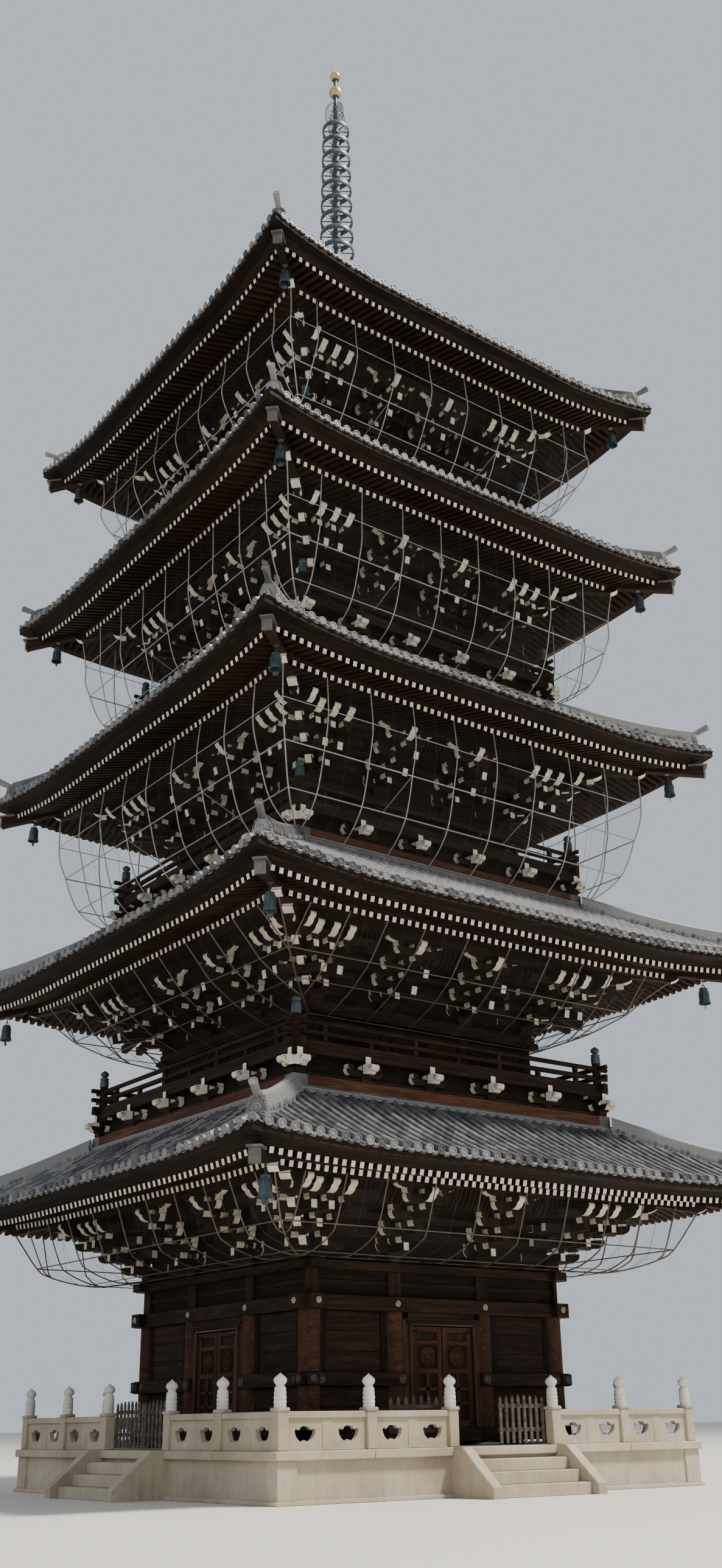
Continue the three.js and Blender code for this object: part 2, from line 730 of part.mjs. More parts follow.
// Steel hoops under the eaves that carry a bird net. Each hoop hangs from the rafters and curves in
// to the storey; its points are [distance from the axis, z] from the top down.
const HOOPS = [
  [[2637, 2388], [2362, 2222], [2055, 2164], [1756, 2196]],
  [[2590, 5274], [2272, 4992], [2001, 4837], [1660, 4700]],
  [[2716, 7770], [2630, 7318], [2485, 6852], [2136, 6520]],
  [[2576, 10486], [2514, 10013], [2355, 9544], [2040, 9300]],
  [[2500, 13300], [2525, 13000], [2384, 12653], [1940, 12060]],
];

function netFrame(storey) {
  const radius = 15;
  const hoop = HOOPS[storey];
  const start = EAVE_CORNER[storey] - RAFTER.base - 40;
  const middleTop = rafterUnderside(storey, start) + 30;
  const cornerTop = EAVE_CORNER_Z[storey] - HIP.top - 60;
  const middle = [[start - EAVE_BOW, middleTop], ...hoop].map(([half, z]) => [0, -half, z]);
  const corner = [[start, cornerTop], ...hoop].map(([half, z]) => [-half, -half, z]);
  const pieces = [];
  for (let side = 0; side < 4; side++) {
    pieces.push(quarter(rod(middle, radius), side), quarter(rod(corner, radius), side));
  }
  const [railHalf, railZ] = hoop[1];
  const rail = radius * 0.8;
  pieces.push(plainRing(railHalf + rail, railHalf - rail, railZ - rail, railZ + rail));
  return join(pieces).subtract(eaves(storey).translate([0, 0, -GAP]));
}

// Bronze spire: box, bowl and flower, nine rings on the mast, then flame and jewels
const SPIRE = {
  box: 330,
  boxTop: 16290,
  bowlTop: 16580,
  flowerTop: 16830,
  ringFirst: 17476,
  ringPitch: 321.5,
  rings: 9,
  ringRadius: [267, 217],
  flameBottom: 20077,
  flameTop: 20717,
  flameHalf: 217,
  lowJewel: 20925,
  highJewel: 21288,
  tip: 21500,
};

function spireBase() {
  const bottom = ROOF_TOP[4][1] + GAP;
  const { box: half, boxTop, bowlTop, flowerTop } = SPIRE;
  const profile = [
    [0, boxTop - 1], [290, boxTop - 1], [265, boxTop + 150], [150, bowlTop], [150, bowlTop + 60],
    [270, flowerTop], [0, flowerTop],
  ];
  return join(
    box(-half, half, -half, half, bottom, boxTop),
    box(-half - 45, half + 45, -half - 45, half + 45, boxTop - 70, boxTop - 20),
    turnedShape(profile, 0, 0, 12),
  );
}

function spireRings() {
  const { flowerTop, ringFirst, ringPitch, rings, ringRadius, flameBottom } = SPIRE;
  const pieces = [turnedShape([
    [0, flowerTop + GAP], [62, flowerTop + GAP], [44, flameBottom], [0, flameBottom],
  ], 0, 0, 6)];
  const band = { high: 70, thick: 16 };
  const spoke = 12;
  for (let i = 0; i < rings; i++) {
    const z = ringFirst + i * ringPitch;
    const r = ringRadius[0] + (ringRadius[1] - ringRadius[0]) * i / (rings - 1);
    const inside = [r - band.thick, z];
    const hoop = turnedShape([inside, [r, z - band.high / 2], [r, z + band.high / 2], inside], 0, 0, 8);
    pieces.push(hoop, box(-r + 8, r - 8, -spoke, spoke, z + 1, z + 1 + 2 * spoke));
  }
  return join(pieces);
}

function spireTop() {
  const { flameBottom, flameTop, flameHalf, lowJewel, highJewel, tip } = SPIRE;
  const foot = flameBottom + GAP;
  const mast = turnedShape([
    [0, foot], [38, foot],
    [30, lowJewel - 100], [76, lowJewel - 76], [108, lowJewel], [76, lowJewel + 76], [30, lowJewel + 104],
    [30, highJewel - 90], [64, highJewel - 64], [90, highJewel], [64, highJewel + 64], [0, tip],
  ], 0, 0, 6);
  const blade = new THREE.Shape([
    [20, foot + 20], [0.5 * flameHalf, foot], [flameHalf, foot + 170], [flameHalf - 25, flameTop - 260],
    [0.6 * flameHalf, flameTop - 60], [20, flameTop],
  ].map(([x, z]) => new THREE.Vector2(x, z)));
  const plate = drawnAlongY(blade, -6, 6);
  return join(mast, [0, 1, 2, 3].map((turn) => quarter(plate, turn)));
}

// Assembly
const SIDES = ['front', 'right', 'back', 'left'];
const CORNERS = ['front_left', 'front_right', 'back_right', 'back_left'];

addNode('platform', platform(), STONE);
SIDES.forEach((side, turn) => addNode(`stair_${side}`, quarter(stair(), turn), STONE));
CORNERS.forEach((corner, turn) => addNode(`balustrade_${corner}`, quarter(balustrade(), turn), STONE));
CORNERS.forEach((corner, turn) => addNode(`walls_1_${corner}`, quarter(cornerWall(), turn), TIMBER));
addNode('walls_1_head', headRing(), TIMBER);
addNode('floor_1', groundFloor(), TIMBER);

// Gates: the front left leaf stands folded back inwards, the others are closed
const OPEN_LEAF = 165;
const swungLeaf = gateLeaf()
  .translate([GATE.hinge, GATE.pin, 0])
  .rotate([0, 0, OPEN_LEAF])
  .translate([-GATE.hinge, -GATE.pin, 0]);
addNode('gate_front_left', swungLeaf, TIMBER);
addNode('gate_front_right', mirrorX(gateLeaf()), TIMBER);
addNode('gate_left_back', quarter(gateLeaf(), 3), TIMBER);
addNode('gate_left_front', quarter(mirrorX(gateLeaf()), 3), TIMBER);
addNode('gate_right', quarter(gatePair(), 1), TIMBER);
addNode('gate_back', quarter(gatePair(), 2), TIMBER);

addNode('door_front_left', doorLeaf(), DARK_TIMBER);
addNode('door_front_right', mirrorX(doorLeaf()), DARK_TIMBER);
addNode('door_left_back', quarter(doorLeaf(), 3), DARK_TIMBER);
addNode('door_left_front', quarter(mirrorX(doorLeaf()), 3), DARK_TIMBER);
addNode('door_right', quarter(doorPair(), 1), DARK_TIMBER);
addNode('door_back', quarter(doorPair(), 2), DARK_TIMBER);

for (let storey = 0; storey < 5; storey++) {
  if (storey > 0) {
    addNode(`walls_${storey + 1}`, upperWalls(storey), DARK_TIMBER);
    addNode(`balcony_${storey + 1}`, balcony(storey), TIMBER);
  }
  addNode(`eaves_${storey + 1}`, eaves(storey), TIMBER);
  addNode(`roof_${storey + 1}`, roof(storey), TILE);
  addNode(`net_frame_${storey + 1}`, netFrame(storey), STEEL);
}
addNode('spire_base', spireBase(), BRONZE);
addNode('spire_rings', spireRings(), BRONZE);
addNode('spire_top', spireTop(), BRONZE);

export default root;
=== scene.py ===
"""Looks of a five-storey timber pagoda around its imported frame.

Shapes are written in millimetres of the model and scaled to metres once, when a mesh is made.
Everything is built for the front side, which faces -Y, and turned to the other three.
Storeys are numbered from 0 in the code, and from 1 in the names of pieces and nodes.
"""

import math

import bpy
import numpy as np
from mathutils import Matrix, Vector


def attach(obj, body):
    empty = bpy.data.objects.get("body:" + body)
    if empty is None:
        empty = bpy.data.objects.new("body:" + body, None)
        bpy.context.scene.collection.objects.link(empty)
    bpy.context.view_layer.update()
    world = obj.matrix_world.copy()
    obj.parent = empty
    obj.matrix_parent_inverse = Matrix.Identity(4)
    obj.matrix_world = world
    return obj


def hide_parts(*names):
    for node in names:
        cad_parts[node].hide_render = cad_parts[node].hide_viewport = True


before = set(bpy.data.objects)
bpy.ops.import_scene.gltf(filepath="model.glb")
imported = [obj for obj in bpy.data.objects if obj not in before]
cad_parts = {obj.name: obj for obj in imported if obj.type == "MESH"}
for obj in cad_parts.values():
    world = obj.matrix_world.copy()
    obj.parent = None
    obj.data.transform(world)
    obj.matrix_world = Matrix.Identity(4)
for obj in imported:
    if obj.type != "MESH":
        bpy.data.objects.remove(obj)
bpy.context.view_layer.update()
MM = 0.001
rng = np.random.default_rng(11)

# ---- sizes shared with the solids, in mm
PLATFORM_HALF, PLATFORM_TOP = 2710, 432
STANDING = 432.3                            # foot of what stands on the platform, clear of its top
STAIR_HALF, STRINGER_HALF, STAIR_FOOT = 600, 722, 3250
RISER, TREAD = 108, 153
RAIL_LINE, POSTS = 2610, (2610, 1632, 665)  # axis of the balustrade, and its posts along a side
RAIL_BOTTOM, RAIL_TOP = 694, 755
GATE_LINE, HINGE, PIN, OPEN_LEAF = 2539, 616, 2522, 165
WALL = (1625, 1532, 1434, 1337, 1239)       # from here on one value a storey
PLATE_TOP = (2175, 4873, 7549, 10277, 12906)
EAVE = (3555, 3522, 3415, 3324, 3218)
EAVE_Z = (3013, 5657, 8337, 11079, 13697)
CORNER_Z = (3103, 5784, 8493, 11217, 13917)
ROOF_TOP = ((2221, 3760), (2120, 6495), (2023, 9211), (1922, 11895), (361, 15840))
BEAM_HALF = (2214, 2117, 2020, 1920)        # base beams of the balconies
BEAM_TOP = (3890, 6625, 9345, 12029)
FLOOR_TOP = (4172, 6892, 9612, 12296)
INNER = 596 / 1625                          # place of the inner columns, as a share of WALL
BOW = 43                                    # how far the eave line bows in at mid-side
STRAIGHT, CURVED = 0.45, 0.55               # shares of half an eave
PITCH = 140                                 # between round tile rows
TILE_LENGTH, COVER, LAPPED = 152, 43.0, 37.5  # a round tile: its length and its two radii
RAFTER_PITCH = 101
FLYING, BASE, SLOPE = 228, 657, 0.3         # insets of the two rafter rows' ends, slope of the lower row
PURLIN_OUT = 660
HIP_TIP = 110
STEPS = (0, 207, 414, 621)                  # how far each step of a bracket stands out
BOLSTER = 42
RING_FIRST, RING_PITCH, RINGS, RING_RADIUS = 17476, 321.5, 9, (267, 217)
FLAME_BOTTOM, FLAME_TOP, FLAME_HALF = 20077, 20717, 217
LOW_JEWEL, HIGH_JEWEL, TIP = 20925, 21288, 21500

# ---- material slots of the meshes
(WOOD, WHITE, TILE, STONE, BRONZE, STEEL, RED, PALE, GOLD, DARK, IRON, GREY, EDGE, POST, JEWEL, MAST, ZINC,
 NET) = range(18)


# ---------------------------------------------------------------- mesh building
def unit(v):
    v = np.asarray(v, float)
    return v / np.linalg.norm(v)


def turn_z(degrees):
    c, s = math.cos(math.radians(degrees)), math.sin(math.radians(degrees))
    return np.array([[c, -s, 0], [s, c, 0], [0, 0, 1.0]])


def rise(z):
    return np.array((0, 0, z))


UP, FRONT = np.array((0, 0, 1.0)), np.array((0, -1.0, 0))
OUT = unit((-1, -1, 0))                     # from the axis towards the front left corner
ACROSS = np.cross(OUT, (0, 0, 1))
TO_FRONT = dict(a=FRONT, c=(-1, 0, 0))      # outlines in the plane square to the front
TO_CORNER = dict(a=OUT, c=ACROSS)           # outlines in the hip's plane
FACING_CORNER = dict(a=ACROSS, c=OUT)       # outlines that face the corner
MIRROR = np.diag([-1.0, 1, 1])
SWAP = np.array([[0, 1, 0], [1, 0, 0], [0, 0, 1.0]])  # mirror image in the corner's diagonal
FULL_TURN = np.linspace(0, 2 * math.pi, 12, endpoint=False)


class Heap:
    """Vertices and faces of one mesh. Each vertex has a grain coordinate, whose x runs along
    the piece, and a tone that is the same all over one piece."""

    def __init__(self):
        self.co, self.grain, self.tone, self.faces, self.count = [], [], [], [], 0

    def add(self, co, faces, grain=None, tone=None):
        co = np.asarray(co, float)
        grain = co if grain is None else np.asarray(grain, float)
        self.co.append(co)
        self.grain.append(grain + rng.uniform(-4000, 4000, 3))
        self.tone.append(np.full(len(co), rng.random()) if tone is None else np.asarray(tone, float))
        for array, mat in faces:
            array = np.asarray(array, int)
            if len(array):
                mats = np.full(len(array), mat) if np.isscalar(mat) else np.asarray(mat)
                self.faces.append((array + self.count, mats))
        self.count += len(co)

    def packed(self):
        return np.concatenate(self.co), np.concatenate(self.grain), np.concatenate(self.tone)

    def stamp(self, other, basis=None, at=(0, 0, 0), flip=False):
        """Copies another heap here, through a 3 by 3 matrix and a move. flip turns its faces over."""
        co, grain, tone = other.packed()
        if basis is not None:
            co = co @ np.asarray(basis).T
        self.co.append(co + np.asarray(at, float))
        self.grain.append(grain + rng.uniform(-4000, 4000, 3))
        self.tone.append((tone + rng.random()) % 1)
        for array, mats in other.faces:
            self.faces.append(((array[:, ::-1] if flip else array) + self.count, mats))
        self.count += len(co)

    def turned(self, quarter):
        """A copy turned about the tower's axis by so many right angles"""
        whole = Heap()
        whole.stamp(self, turn_z(90 * quarter))
        return whole

    def quarters(self):
        """Four turned copies. Two of them are a hair larger, so that no two faces share a plane"""
        whole = Heap()
        for k in range(4):
            odd = k % 2
            grow = 1 + 0.0002 * odd
            whole.stamp(self, turn_z(90 * k) @ np.diag((grow, grow, 1.0)), (0, 0, 0.4 * odd))
        return whole

    def mirrored(self, basis=MIRROR):
        """This heap and its mirror image"""
        whole = Heap()
        whole.stamp(self)
        whole.stamp(self, basis, flip=True)
        return whole


CUBE_SIGNS = np.array([[x, y, z] for x in (-1, 1) for y in (-1, 1) for z in (-1, 1)], float)
CUBE_SIDES = np.array([[0, 1, 3, 2], [4, 6, 7, 5], [0, 4, 5, 1], [2, 3, 7, 6], [0, 2, 6, 4], [1, 5, 7, 3]])


def chamfer_template():
    """Cube corner and axis of each vertex of a box with cut edges, then its sides, edges and corners"""
    verts = [(s, a) for s in range(8) for a in range(3)]
    number = {v: i for i, v in enumerate(verts)}
    place = np.array([CUBE_SIGNS[s] * (1 + 0.2 * (np.arange(3) == a)) for s, a in verts])
    sides, edges = [], []
    corners = [[number[(s, a)] for a in range(3)] for s in range(8)]
    for a in range(3):
        for sign in (-1, 1):
            mine = [s for s in range(8) if CUBE_SIGNS[s][a] == sign]
            sides.append([number[(mine[i], a)] for i in (0, 1, 3, 2)])
    for a, b in ((0, 1), (0, 2), (1, 2)):
        for sa in (-1, 1):
            for sb in (-1, 1):
                p, q = [s for s in range(8) if CUBE_SIGNS[s][a] == sa and CUBE_SIGNS[s][b] == sb]
                edges.append([number[(p, a)], number[(p, b)], number[(q, b)], number[(q, a)]])

    def outward(face):
        p = place[face]
        return face if np.cross(p[1] - p[0], p[2] - p[1]) @ p.mean(0) > 0 else face[::-1]

    groups = [np.array([outward(face) for face in group]) for group in (sides, edges, corners)]
    return np.array([s for s, _ in verts]), np.array([a for _, a in verts]), groups


CHAMFER = chamfer_template()


def slab(h, centre, size, basis, mat=WOOD, chamfer=0, end=None):
    """A box: size[0] runs along its grain. end is the material of its two end faces."""
    half = np.asarray(size, float) / 2
    mats = np.full(6, mat)
    if end is not None:
        mats[:2] = end
    if chamfer:
        s, a, (sides, edges, corners) = CHAMFER
        cut = np.where(np.arange(3)[None, :] == a[:, None], 0.0, chamfer)
        local = CUBE_SIGNS[s] * (half - cut)
        faces = [(sides, mats), (edges, mat), (corners, mat)]
    else:
        local = CUBE_SIGNS * half
        faces = [(CUBE_SIDES, mats)]
    h.add(local @ np.asarray(basis, float) + np.asarray(centre, float), faces, grain=local)


# rows: the grain, across and up directions of a box
ALONG = {"x": np.eye(3), "y": np.array([[0, 1, 0], [-1, 0, 0], [0, 0, 1.0]]),
         "z": np.array([[0, 0, 1], [0, 1, 0], [-1, 0, 0.0]])}


def box(h, x0, x1, y0, y1, z0, z1, grain="x", mat=WOOD, chamfer=0, end=None):
    dx, dy, dz = x1 - x0, y1 - y0, z1 - z0
    size = {"x": (dx, dy, dz), "y": (dy, dx, dz), "z": (dz, dy, dx)}[grain]
    slab(h, ((x0 + x1) / 2, (y0 + y1) / 2, (z0 + z1) / 2), size, ALONG[grain], mat, chamfer, end)


def beam(h, a, b, width, height, mat=WOOD, chamfer=0, end=None):
    """A straight timber from a to b, its sides upright"""
    a, b = np.asarray(a, float), np.asarray(b, float)
    along = unit(b - a)
    across = unit(np.cross((0, 0, 1), along))
    basis = np.array([along, across, np.cross(along, across)])
    slab(h, (a + b) / 2, (np.linalg.norm(b - a), width, height), basis, mat, chamfer, end)


def prism(h, outline, t0, t1, a=(1, 0, 0), c=(0, 1, 0), origin=(0, 0, 0), mat=WOOD, edge_mats=None):
    """A flat outline, its points along a and up, drawn out along c from t0 to t1"""
    a, c, origin = (np.asarray(v, float) for v in (a, c, origin))
    pts = np.asarray(outline, float)
    n = len(pts)
    flat = origin + pts[:, :1] * a + pts[:, 1:] * UP
    grain = [np.column_stack([pts, np.full(n, t)]) for t in (t0, t1)]
    i = np.arange(n)
    k = (i + 1) % n
    area = np.sum(pts[:, 0] * np.roll(pts[:, 1], -1) - np.roll(pts[:, 0], -1) * pts[:, 1])
    walls = np.column_stack([i, k, k + n, i + n])
    caps = np.array([i[::-1], i + n])
    if area * np.dot(np.cross(a, UP), c) * (t1 - t0) <= 0:
        walls, caps = walls[:, ::-1], caps[:, ::-1]
    faces = [(walls, mat if edge_mats is None else edge_mats), (caps, mat)]
    h.add(np.concatenate([flat + t0 * c, flat + t1 * c]), faces, grain=np.concatenate(grain))


def lathe(h, profile, sides=12, at=(0, 0, 0), axis=(0, 0, 1), mat=MAST, wave=None):
    """A turned shape: (radius, height) pairs about an axis. wave(angle, row) scales its radius."""
    axis, at = unit(axis), np.asarray(at, float)
    side = unit(np.cross(axis, (0.3, 1, 0.2)) if abs(axis[2]) > 0.9 else np.cross(axis, (0, 0, 1)))
    other = np.cross(axis, side)
    angle = np.arange(sides) * 2 * math.pi / sides
    round_about = np.cos(angle)[:, None] * side + np.sin(angle)[:, None] * other
    rows, start, co = [], 0, []
    for row, (r, z) in enumerate(profile):
        if r < 1e-6:
            co.append(at[None] + axis * z)
            rows.append(np.full(sides, start))
        else:
            rr = r * np.ones(sides) * (1 if wave is None else wave(angle, row))
            co.append(at + axis * z + rr[:, None] * round_about)
            rows.append(start + np.arange(sides))
        start += len(co[-1])
    quads, tris = [], []
    for low, high in zip(rows, rows[1:]):
        a, b, c, d = low, np.roll(low, -1), np.roll(high, -1), high
        if low[0] == low[-1]:
            tris.append(np.column_stack([a, c, d]))
        elif high[0] == high[-1]:
            tris.append(np.column_stack([a, b, d]))
        else:
            quads.append(np.column_stack([a, b, c, d]))
    h.add(np.concatenate(co), [(np.concatenate(g), mat) for g in (quads, tris) if g])


def scalloped(rows, lobes, depth):
    """A wave for lathe: lobes on some rows of a profile"""
    return lambda angle, row: 1 + (depth * np.cos(lobes * angle) if row in rows else 0)


def length_along(points):
    return np.concatenate([[0], np.cumsum(np.linalg.norm(np.diff(points, axis=0), axis=1))])


def tube(h, points, radius, sides=6, mat=STEEL, closed=False):
    pts = np.asarray(points, float)
    n = len(pts)
    ahead = np.roll(pts, -1, 0) if closed else np.vstack([pts[1:], pts[-1:]])
    behind = np.roll(pts, 1, 0) if closed else np.vstack([pts[:1], pts[:-1]])
    along = ahead - behind
    along /= np.linalg.norm(along, axis=1)[:, None]
    ref = UP if abs(along[:, 2]).max() < 0.9 else unit((0.92, 0.31, 0.2))
    side = np.cross(along, ref)
    side /= np.linalg.norm(side, axis=1)[:, None]
    up = np.cross(side, along)
    angle = np.arange(sides) * 2 * math.pi / sides
    cos, sin = np.cos(angle), np.sin(angle)
    round_about = cos[None, :, None] * side[:, None] + sin[None, :, None] * up[:, None]
    co = (pts[:, None] + radius * round_about).reshape(-1, 3)
    i, j = (a.ravel() for a in np.meshgrid(np.arange(n if closed else n - 1), np.arange(sides), indexing="ij"))
    i2, j2 = (i + 1) % n, (j + 1) % sides
    faces = [(np.column_stack([i * sides + j, i * sides + j2, i2 * sides + j2, i2 * sides + j]), mat)]
    if not closed:
        faces.append((np.array([np.arange(sides)[::-1], (n - 1) * sides + np.arange(sides)]), mat))
    grain = np.column_stack([np.repeat(length_along(pts), sides), np.tile(cos * radius, n), np.tile(sin * radius, n)])
    h.add(co, faces, grain=grain)


def sweep(h, path, section, mat):
    """A closed section of (across, up) points along a path"""
    path, section = np.asarray(path, float), np.asarray(section, float)
    along = np.vstack([path[1:] - path[:-1], path[-1:] - path[-2:-1]])
    across = np.cross(along, UP)
    across /= np.linalg.norm(across, axis=1)[:, None]
    n, m = len(path), len(section)
    co = (path[:, None] + section[None, :, :1] * across[:, None] + section[None, :, 1:] * UP).reshape(-1, 3)
    i, j = (a.ravel() for a in np.meshgrid(np.arange(n - 1), np.arange(m), indexing="ij"))
    k = (j + 1) % m
    walls = np.column_stack([i * m + j, (i + 1) * m + j, (i + 1) * m + k, i * m + k])
    caps = np.array([np.arange(m), (n - 1) * m + np.arange(m)[::-1]])
    grain = np.column_stack([np.repeat(length_along(path), m), np.tile(section, (n, 1))])
    h.add(co, [(walls, mat), (caps, mat)], grain=grain)


def sheet_grid(h, grid, mat, tone=None, flip=False):
    """A grid of points, rows by columns, as quads"""
    grid = np.asarray(grid, float)
    rows, cols = grid.shape[:2]
    i, j = np.meshgrid(np.arange(rows - 1), np.arange(cols - 1), indexing="ij")
    a = (i * cols + j).ravel()
    quads = np.column_stack([a, a + 1, a + 1 + cols, a + cols])
    h.add(grid.reshape(-1, 3), [(quads[:, ::-1] if flip else quads, mat)], tone=tone)


MATERIALS = []
SHARP = math.radians(38)


def make(heap, name, node, body="tower", stands_for=True):
    """Turns a heap into an object that rides on its body and stands for a CAD node"""
    co, grain, tone = heap.packed()
    mesh = bpy.data.meshes.new(name)
    mesh.vertices.add(len(co))
    mesh.vertices.foreach_set("co", (co * MM).astype(np.float32).ravel())
    loops = np.concatenate([a.ravel() for a, _ in heap.faces])
    sizes = np.concatenate([np.full(len(a), a.shape[1]) for a, _ in heap.faces])
    mats = np.concatenate([m for _, m in heap.faces])
    number = np.zeros(len(MATERIALS), int)
    for i, m in enumerate(sorted(set(mats.tolist()))):
        mesh.materials.append(MATERIALS[m])
        number[m] = i
    mesh.loops.add(len(loops))
    mesh.loops.foreach_set("vertex_index", loops.astype(np.int32))
    mesh.polygons.add(len(sizes))
    mesh.polygons.foreach_set("loop_start", np.concatenate([[0], np.cumsum(sizes)[:-1]]).astype(np.int32))
    mesh.polygons.foreach_set("material_index", number[mats].astype(np.int32))
    mesh.polygons.foreach_set("use_smooth", np.ones(len(sizes), bool))
    mesh.update(calc_edges=True)
    mesh.validate()
    mesh.set_sharp_from_angle(angle=SHARP)
    attribute = mesh.attributes.new("grain", "FLOAT_VECTOR", "POINT")
    attribute.data.foreach_set("vector", (grain * MM).astype(np.float32).ravel())
    attribute = mesh.attributes.new("tone", "FLOAT", "POINT")
    attribute.data.foreach_set("value", tone.astype(np.float32))
    obj = bpy.data.objects.new(name, mesh)
    bpy.context.scene.collection.objects.link(obj)
    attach(obj, body)
    if stands_for:
        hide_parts(node)
    return obj


# ---------------------------------------------------------------- materials
class Graph:
    """Short names for building one material's nodes"""

    def __init__(self, name, roughness, metallic=0.0):
        self.mat = bpy.data.materials.new(name)
        self.mat.use_nodes = True
        self.nodes, self.links = self.mat.node_tree.nodes, self.mat.node_tree.links
        self.bsdf = self.nodes["Principled BSDF"]
        self.bsdf.inputs["Roughness"].default_value = roughness
        self.bsdf.inputs["Metallic"].default_value = metallic
        MATERIALS.append(self.mat)

    def new(self, kind, **values):
        node = self.nodes.new(kind)
        for key, value in values.items():
            setattr(node, key, value)
        return node

    def put(self, socket, value):
        if isinstance(value, bpy.types.NodeSocket):
            self.links.new(value, socket)
        else:
            socket.default_value = value

    def attribute(self, name, out="Vector"):
        return self.new("ShaderNodeAttribute", attribute_name=name).outputs[out]

    def place(self):
        return self.new("ShaderNodeTexCoord").outputs["Object"]

    def scaled(self, vector, scale):
        node = self.new("ShaderNodeMapping")
        self.put(node.inputs["Vector"], vector)
        node.inputs["Scale"].default_value = scale
        return node.outputs["Vector"]

    def noise(self, vector, scale, detail=5, rough=0.6, distortion=0.0):
        node = self.new("ShaderNodeTexNoise")
        self.put(node.inputs["Vector"], vector)
        for key, value in (("Scale", scale), ("Detail", detail), ("Roughness", rough), ("Distortion", distortion)):
            node.inputs[key].default_value = value
        return node.outputs["Fac"]

    def spots(self, vector, scale):
        node = self.new("ShaderNodeTexVoronoi")
        self.put(node.inputs["Vector"], vector)
        node.inputs["Scale"].default_value = scale
        return node.outputs["Distance"]

    def ramp(self, value, *stops):
        node = self.new("ShaderNodeValToRGB")
        while len(node.color_ramp.elements) < len(stops):
            node.color_ramp.elements.new(0.5)
        for element, (at, colour) in zip(node.color_ramp.elements, stops):
            element.position = at
            element.color = (*colour, 1)
        self.put(node.inputs["Fac"], value)
        return node.outputs["Color"]

    def grey(self, value, low, high, dark=0.0, light=1.0):
        node = self.new("ShaderNodeMapRange")
        self.put(node.inputs["Value"], value)
        for i, number in enumerate((low, high, dark, light)):
            node.inputs[i + 1].default_value = number
        return node.outputs["Result"]

    def mix(self, factor, a, b, blend="MIX"):
        node = self.new("ShaderNodeMix", data_type="RGBA", blend_type=blend)
        for i, value in ((0, factor), (6, a), (7, (*b, 1) if isinstance(b, tuple) else b)):
            self.put(node.inputs[i], value)
        return node.outputs[2]

    def math(self, operation, a, b):
        node = self.new("ShaderNodeMath", operation=operation)
        self.put(node.inputs[0], a)
        self.put(node.inputs[1], b)
        return node.outputs[0]

    def bump(self, height, strength, distance):
        node = self.new("ShaderNodeBump")
        node.inputs["Strength"].default_value = strength
        node.inputs["Distance"].default_value = distance
        self.put(node.inputs["Height"], height)
        self.put(self.bsdf.inputs["Normal"], node.outputs["Normal"])

    def colour(self, value):
        self.put(self.bsdf.inputs["Base Color"], value)

    def rough(self, value):
        self.put(self.bsdf.inputs["Roughness"], value)


def wood(name, dark, mid, light, roughness=0.75, weather=0.35):
    """Old timber: long streaks along the grain, darker seams, a different tone for each piece"""
    g = Graph(name, roughness)
    grain, tone = g.attribute("grain"), g.attribute("tone", "Fac")
    streaks = g.noise(g.scaled(grain, (1.3, 16, 16)), 1.6, 6, 0.62, 0.5)
    fibres = g.noise(g.scaled(grain, (4, 120, 120)), 2.0, 4, 0.7)
    patches = g.noise(g.place(), 1.1, 4, 0.6)
    colour = g.ramp(streaks, (0.28, dark), (0.5, mid), (0.74, light))
    colour = g.mix(g.grey(fibres, 0.35, 0.7, 0.0, 0.55), colour, dark)
    weathered = g.grey(patches, 0.3, 0.7, 1 - weather, 1 + weather * 0.6)
    shade = g.math("MULTIPLY", g.grey(tone, 0, 1, 0.72, 1.25), weathered)
    g.colour(g.mix(1.0, colour, g.ramp(shade, (0, (0, 0, 0)), (1, (1, 1, 1))), "MULTIPLY"))
    g.rough(g.grey(fibres, 0.3, 0.7, roughness - 0.12, min(1, roughness + 0.12)))
    g.bsdf.inputs["Specular IOR Level"].default_value = 0.16
    g.bump(g.math("ADD", g.math("MULTIPLY", streaks, 0.6), g.math("MULTIPLY", fibres, 0.4)), 0.55, 0.006)


def lime_ends():
    """Limewash on the ends of timbers, dirty and worn"""
    g = Graph("lime_ends", 0.85)
    place = g.place()
    dirt = g.noise(place, 9, 6, 0.7)
    speck = g.noise(place, 60, 3, 0.6)
    colour = g.ramp(dirt, (0.3, (0.52, 0.45, 0.33)), (0.5, (0.80, 0.74, 0.61)), (0.7, (0.93, 0.89, 0.79)))
    colour = g.mix(g.grey(g.attribute("tone", "Fac"), 0, 1, 0, 0.35), colour, (0.66, 0.55, 0.40))
    g.colour(g.mix(g.grey(speck, 0.6, 0.8, 0, 0.5), colour, (0.42, 0.34, 0.24)))
    g.bump(speck, 0.3, 0.002)


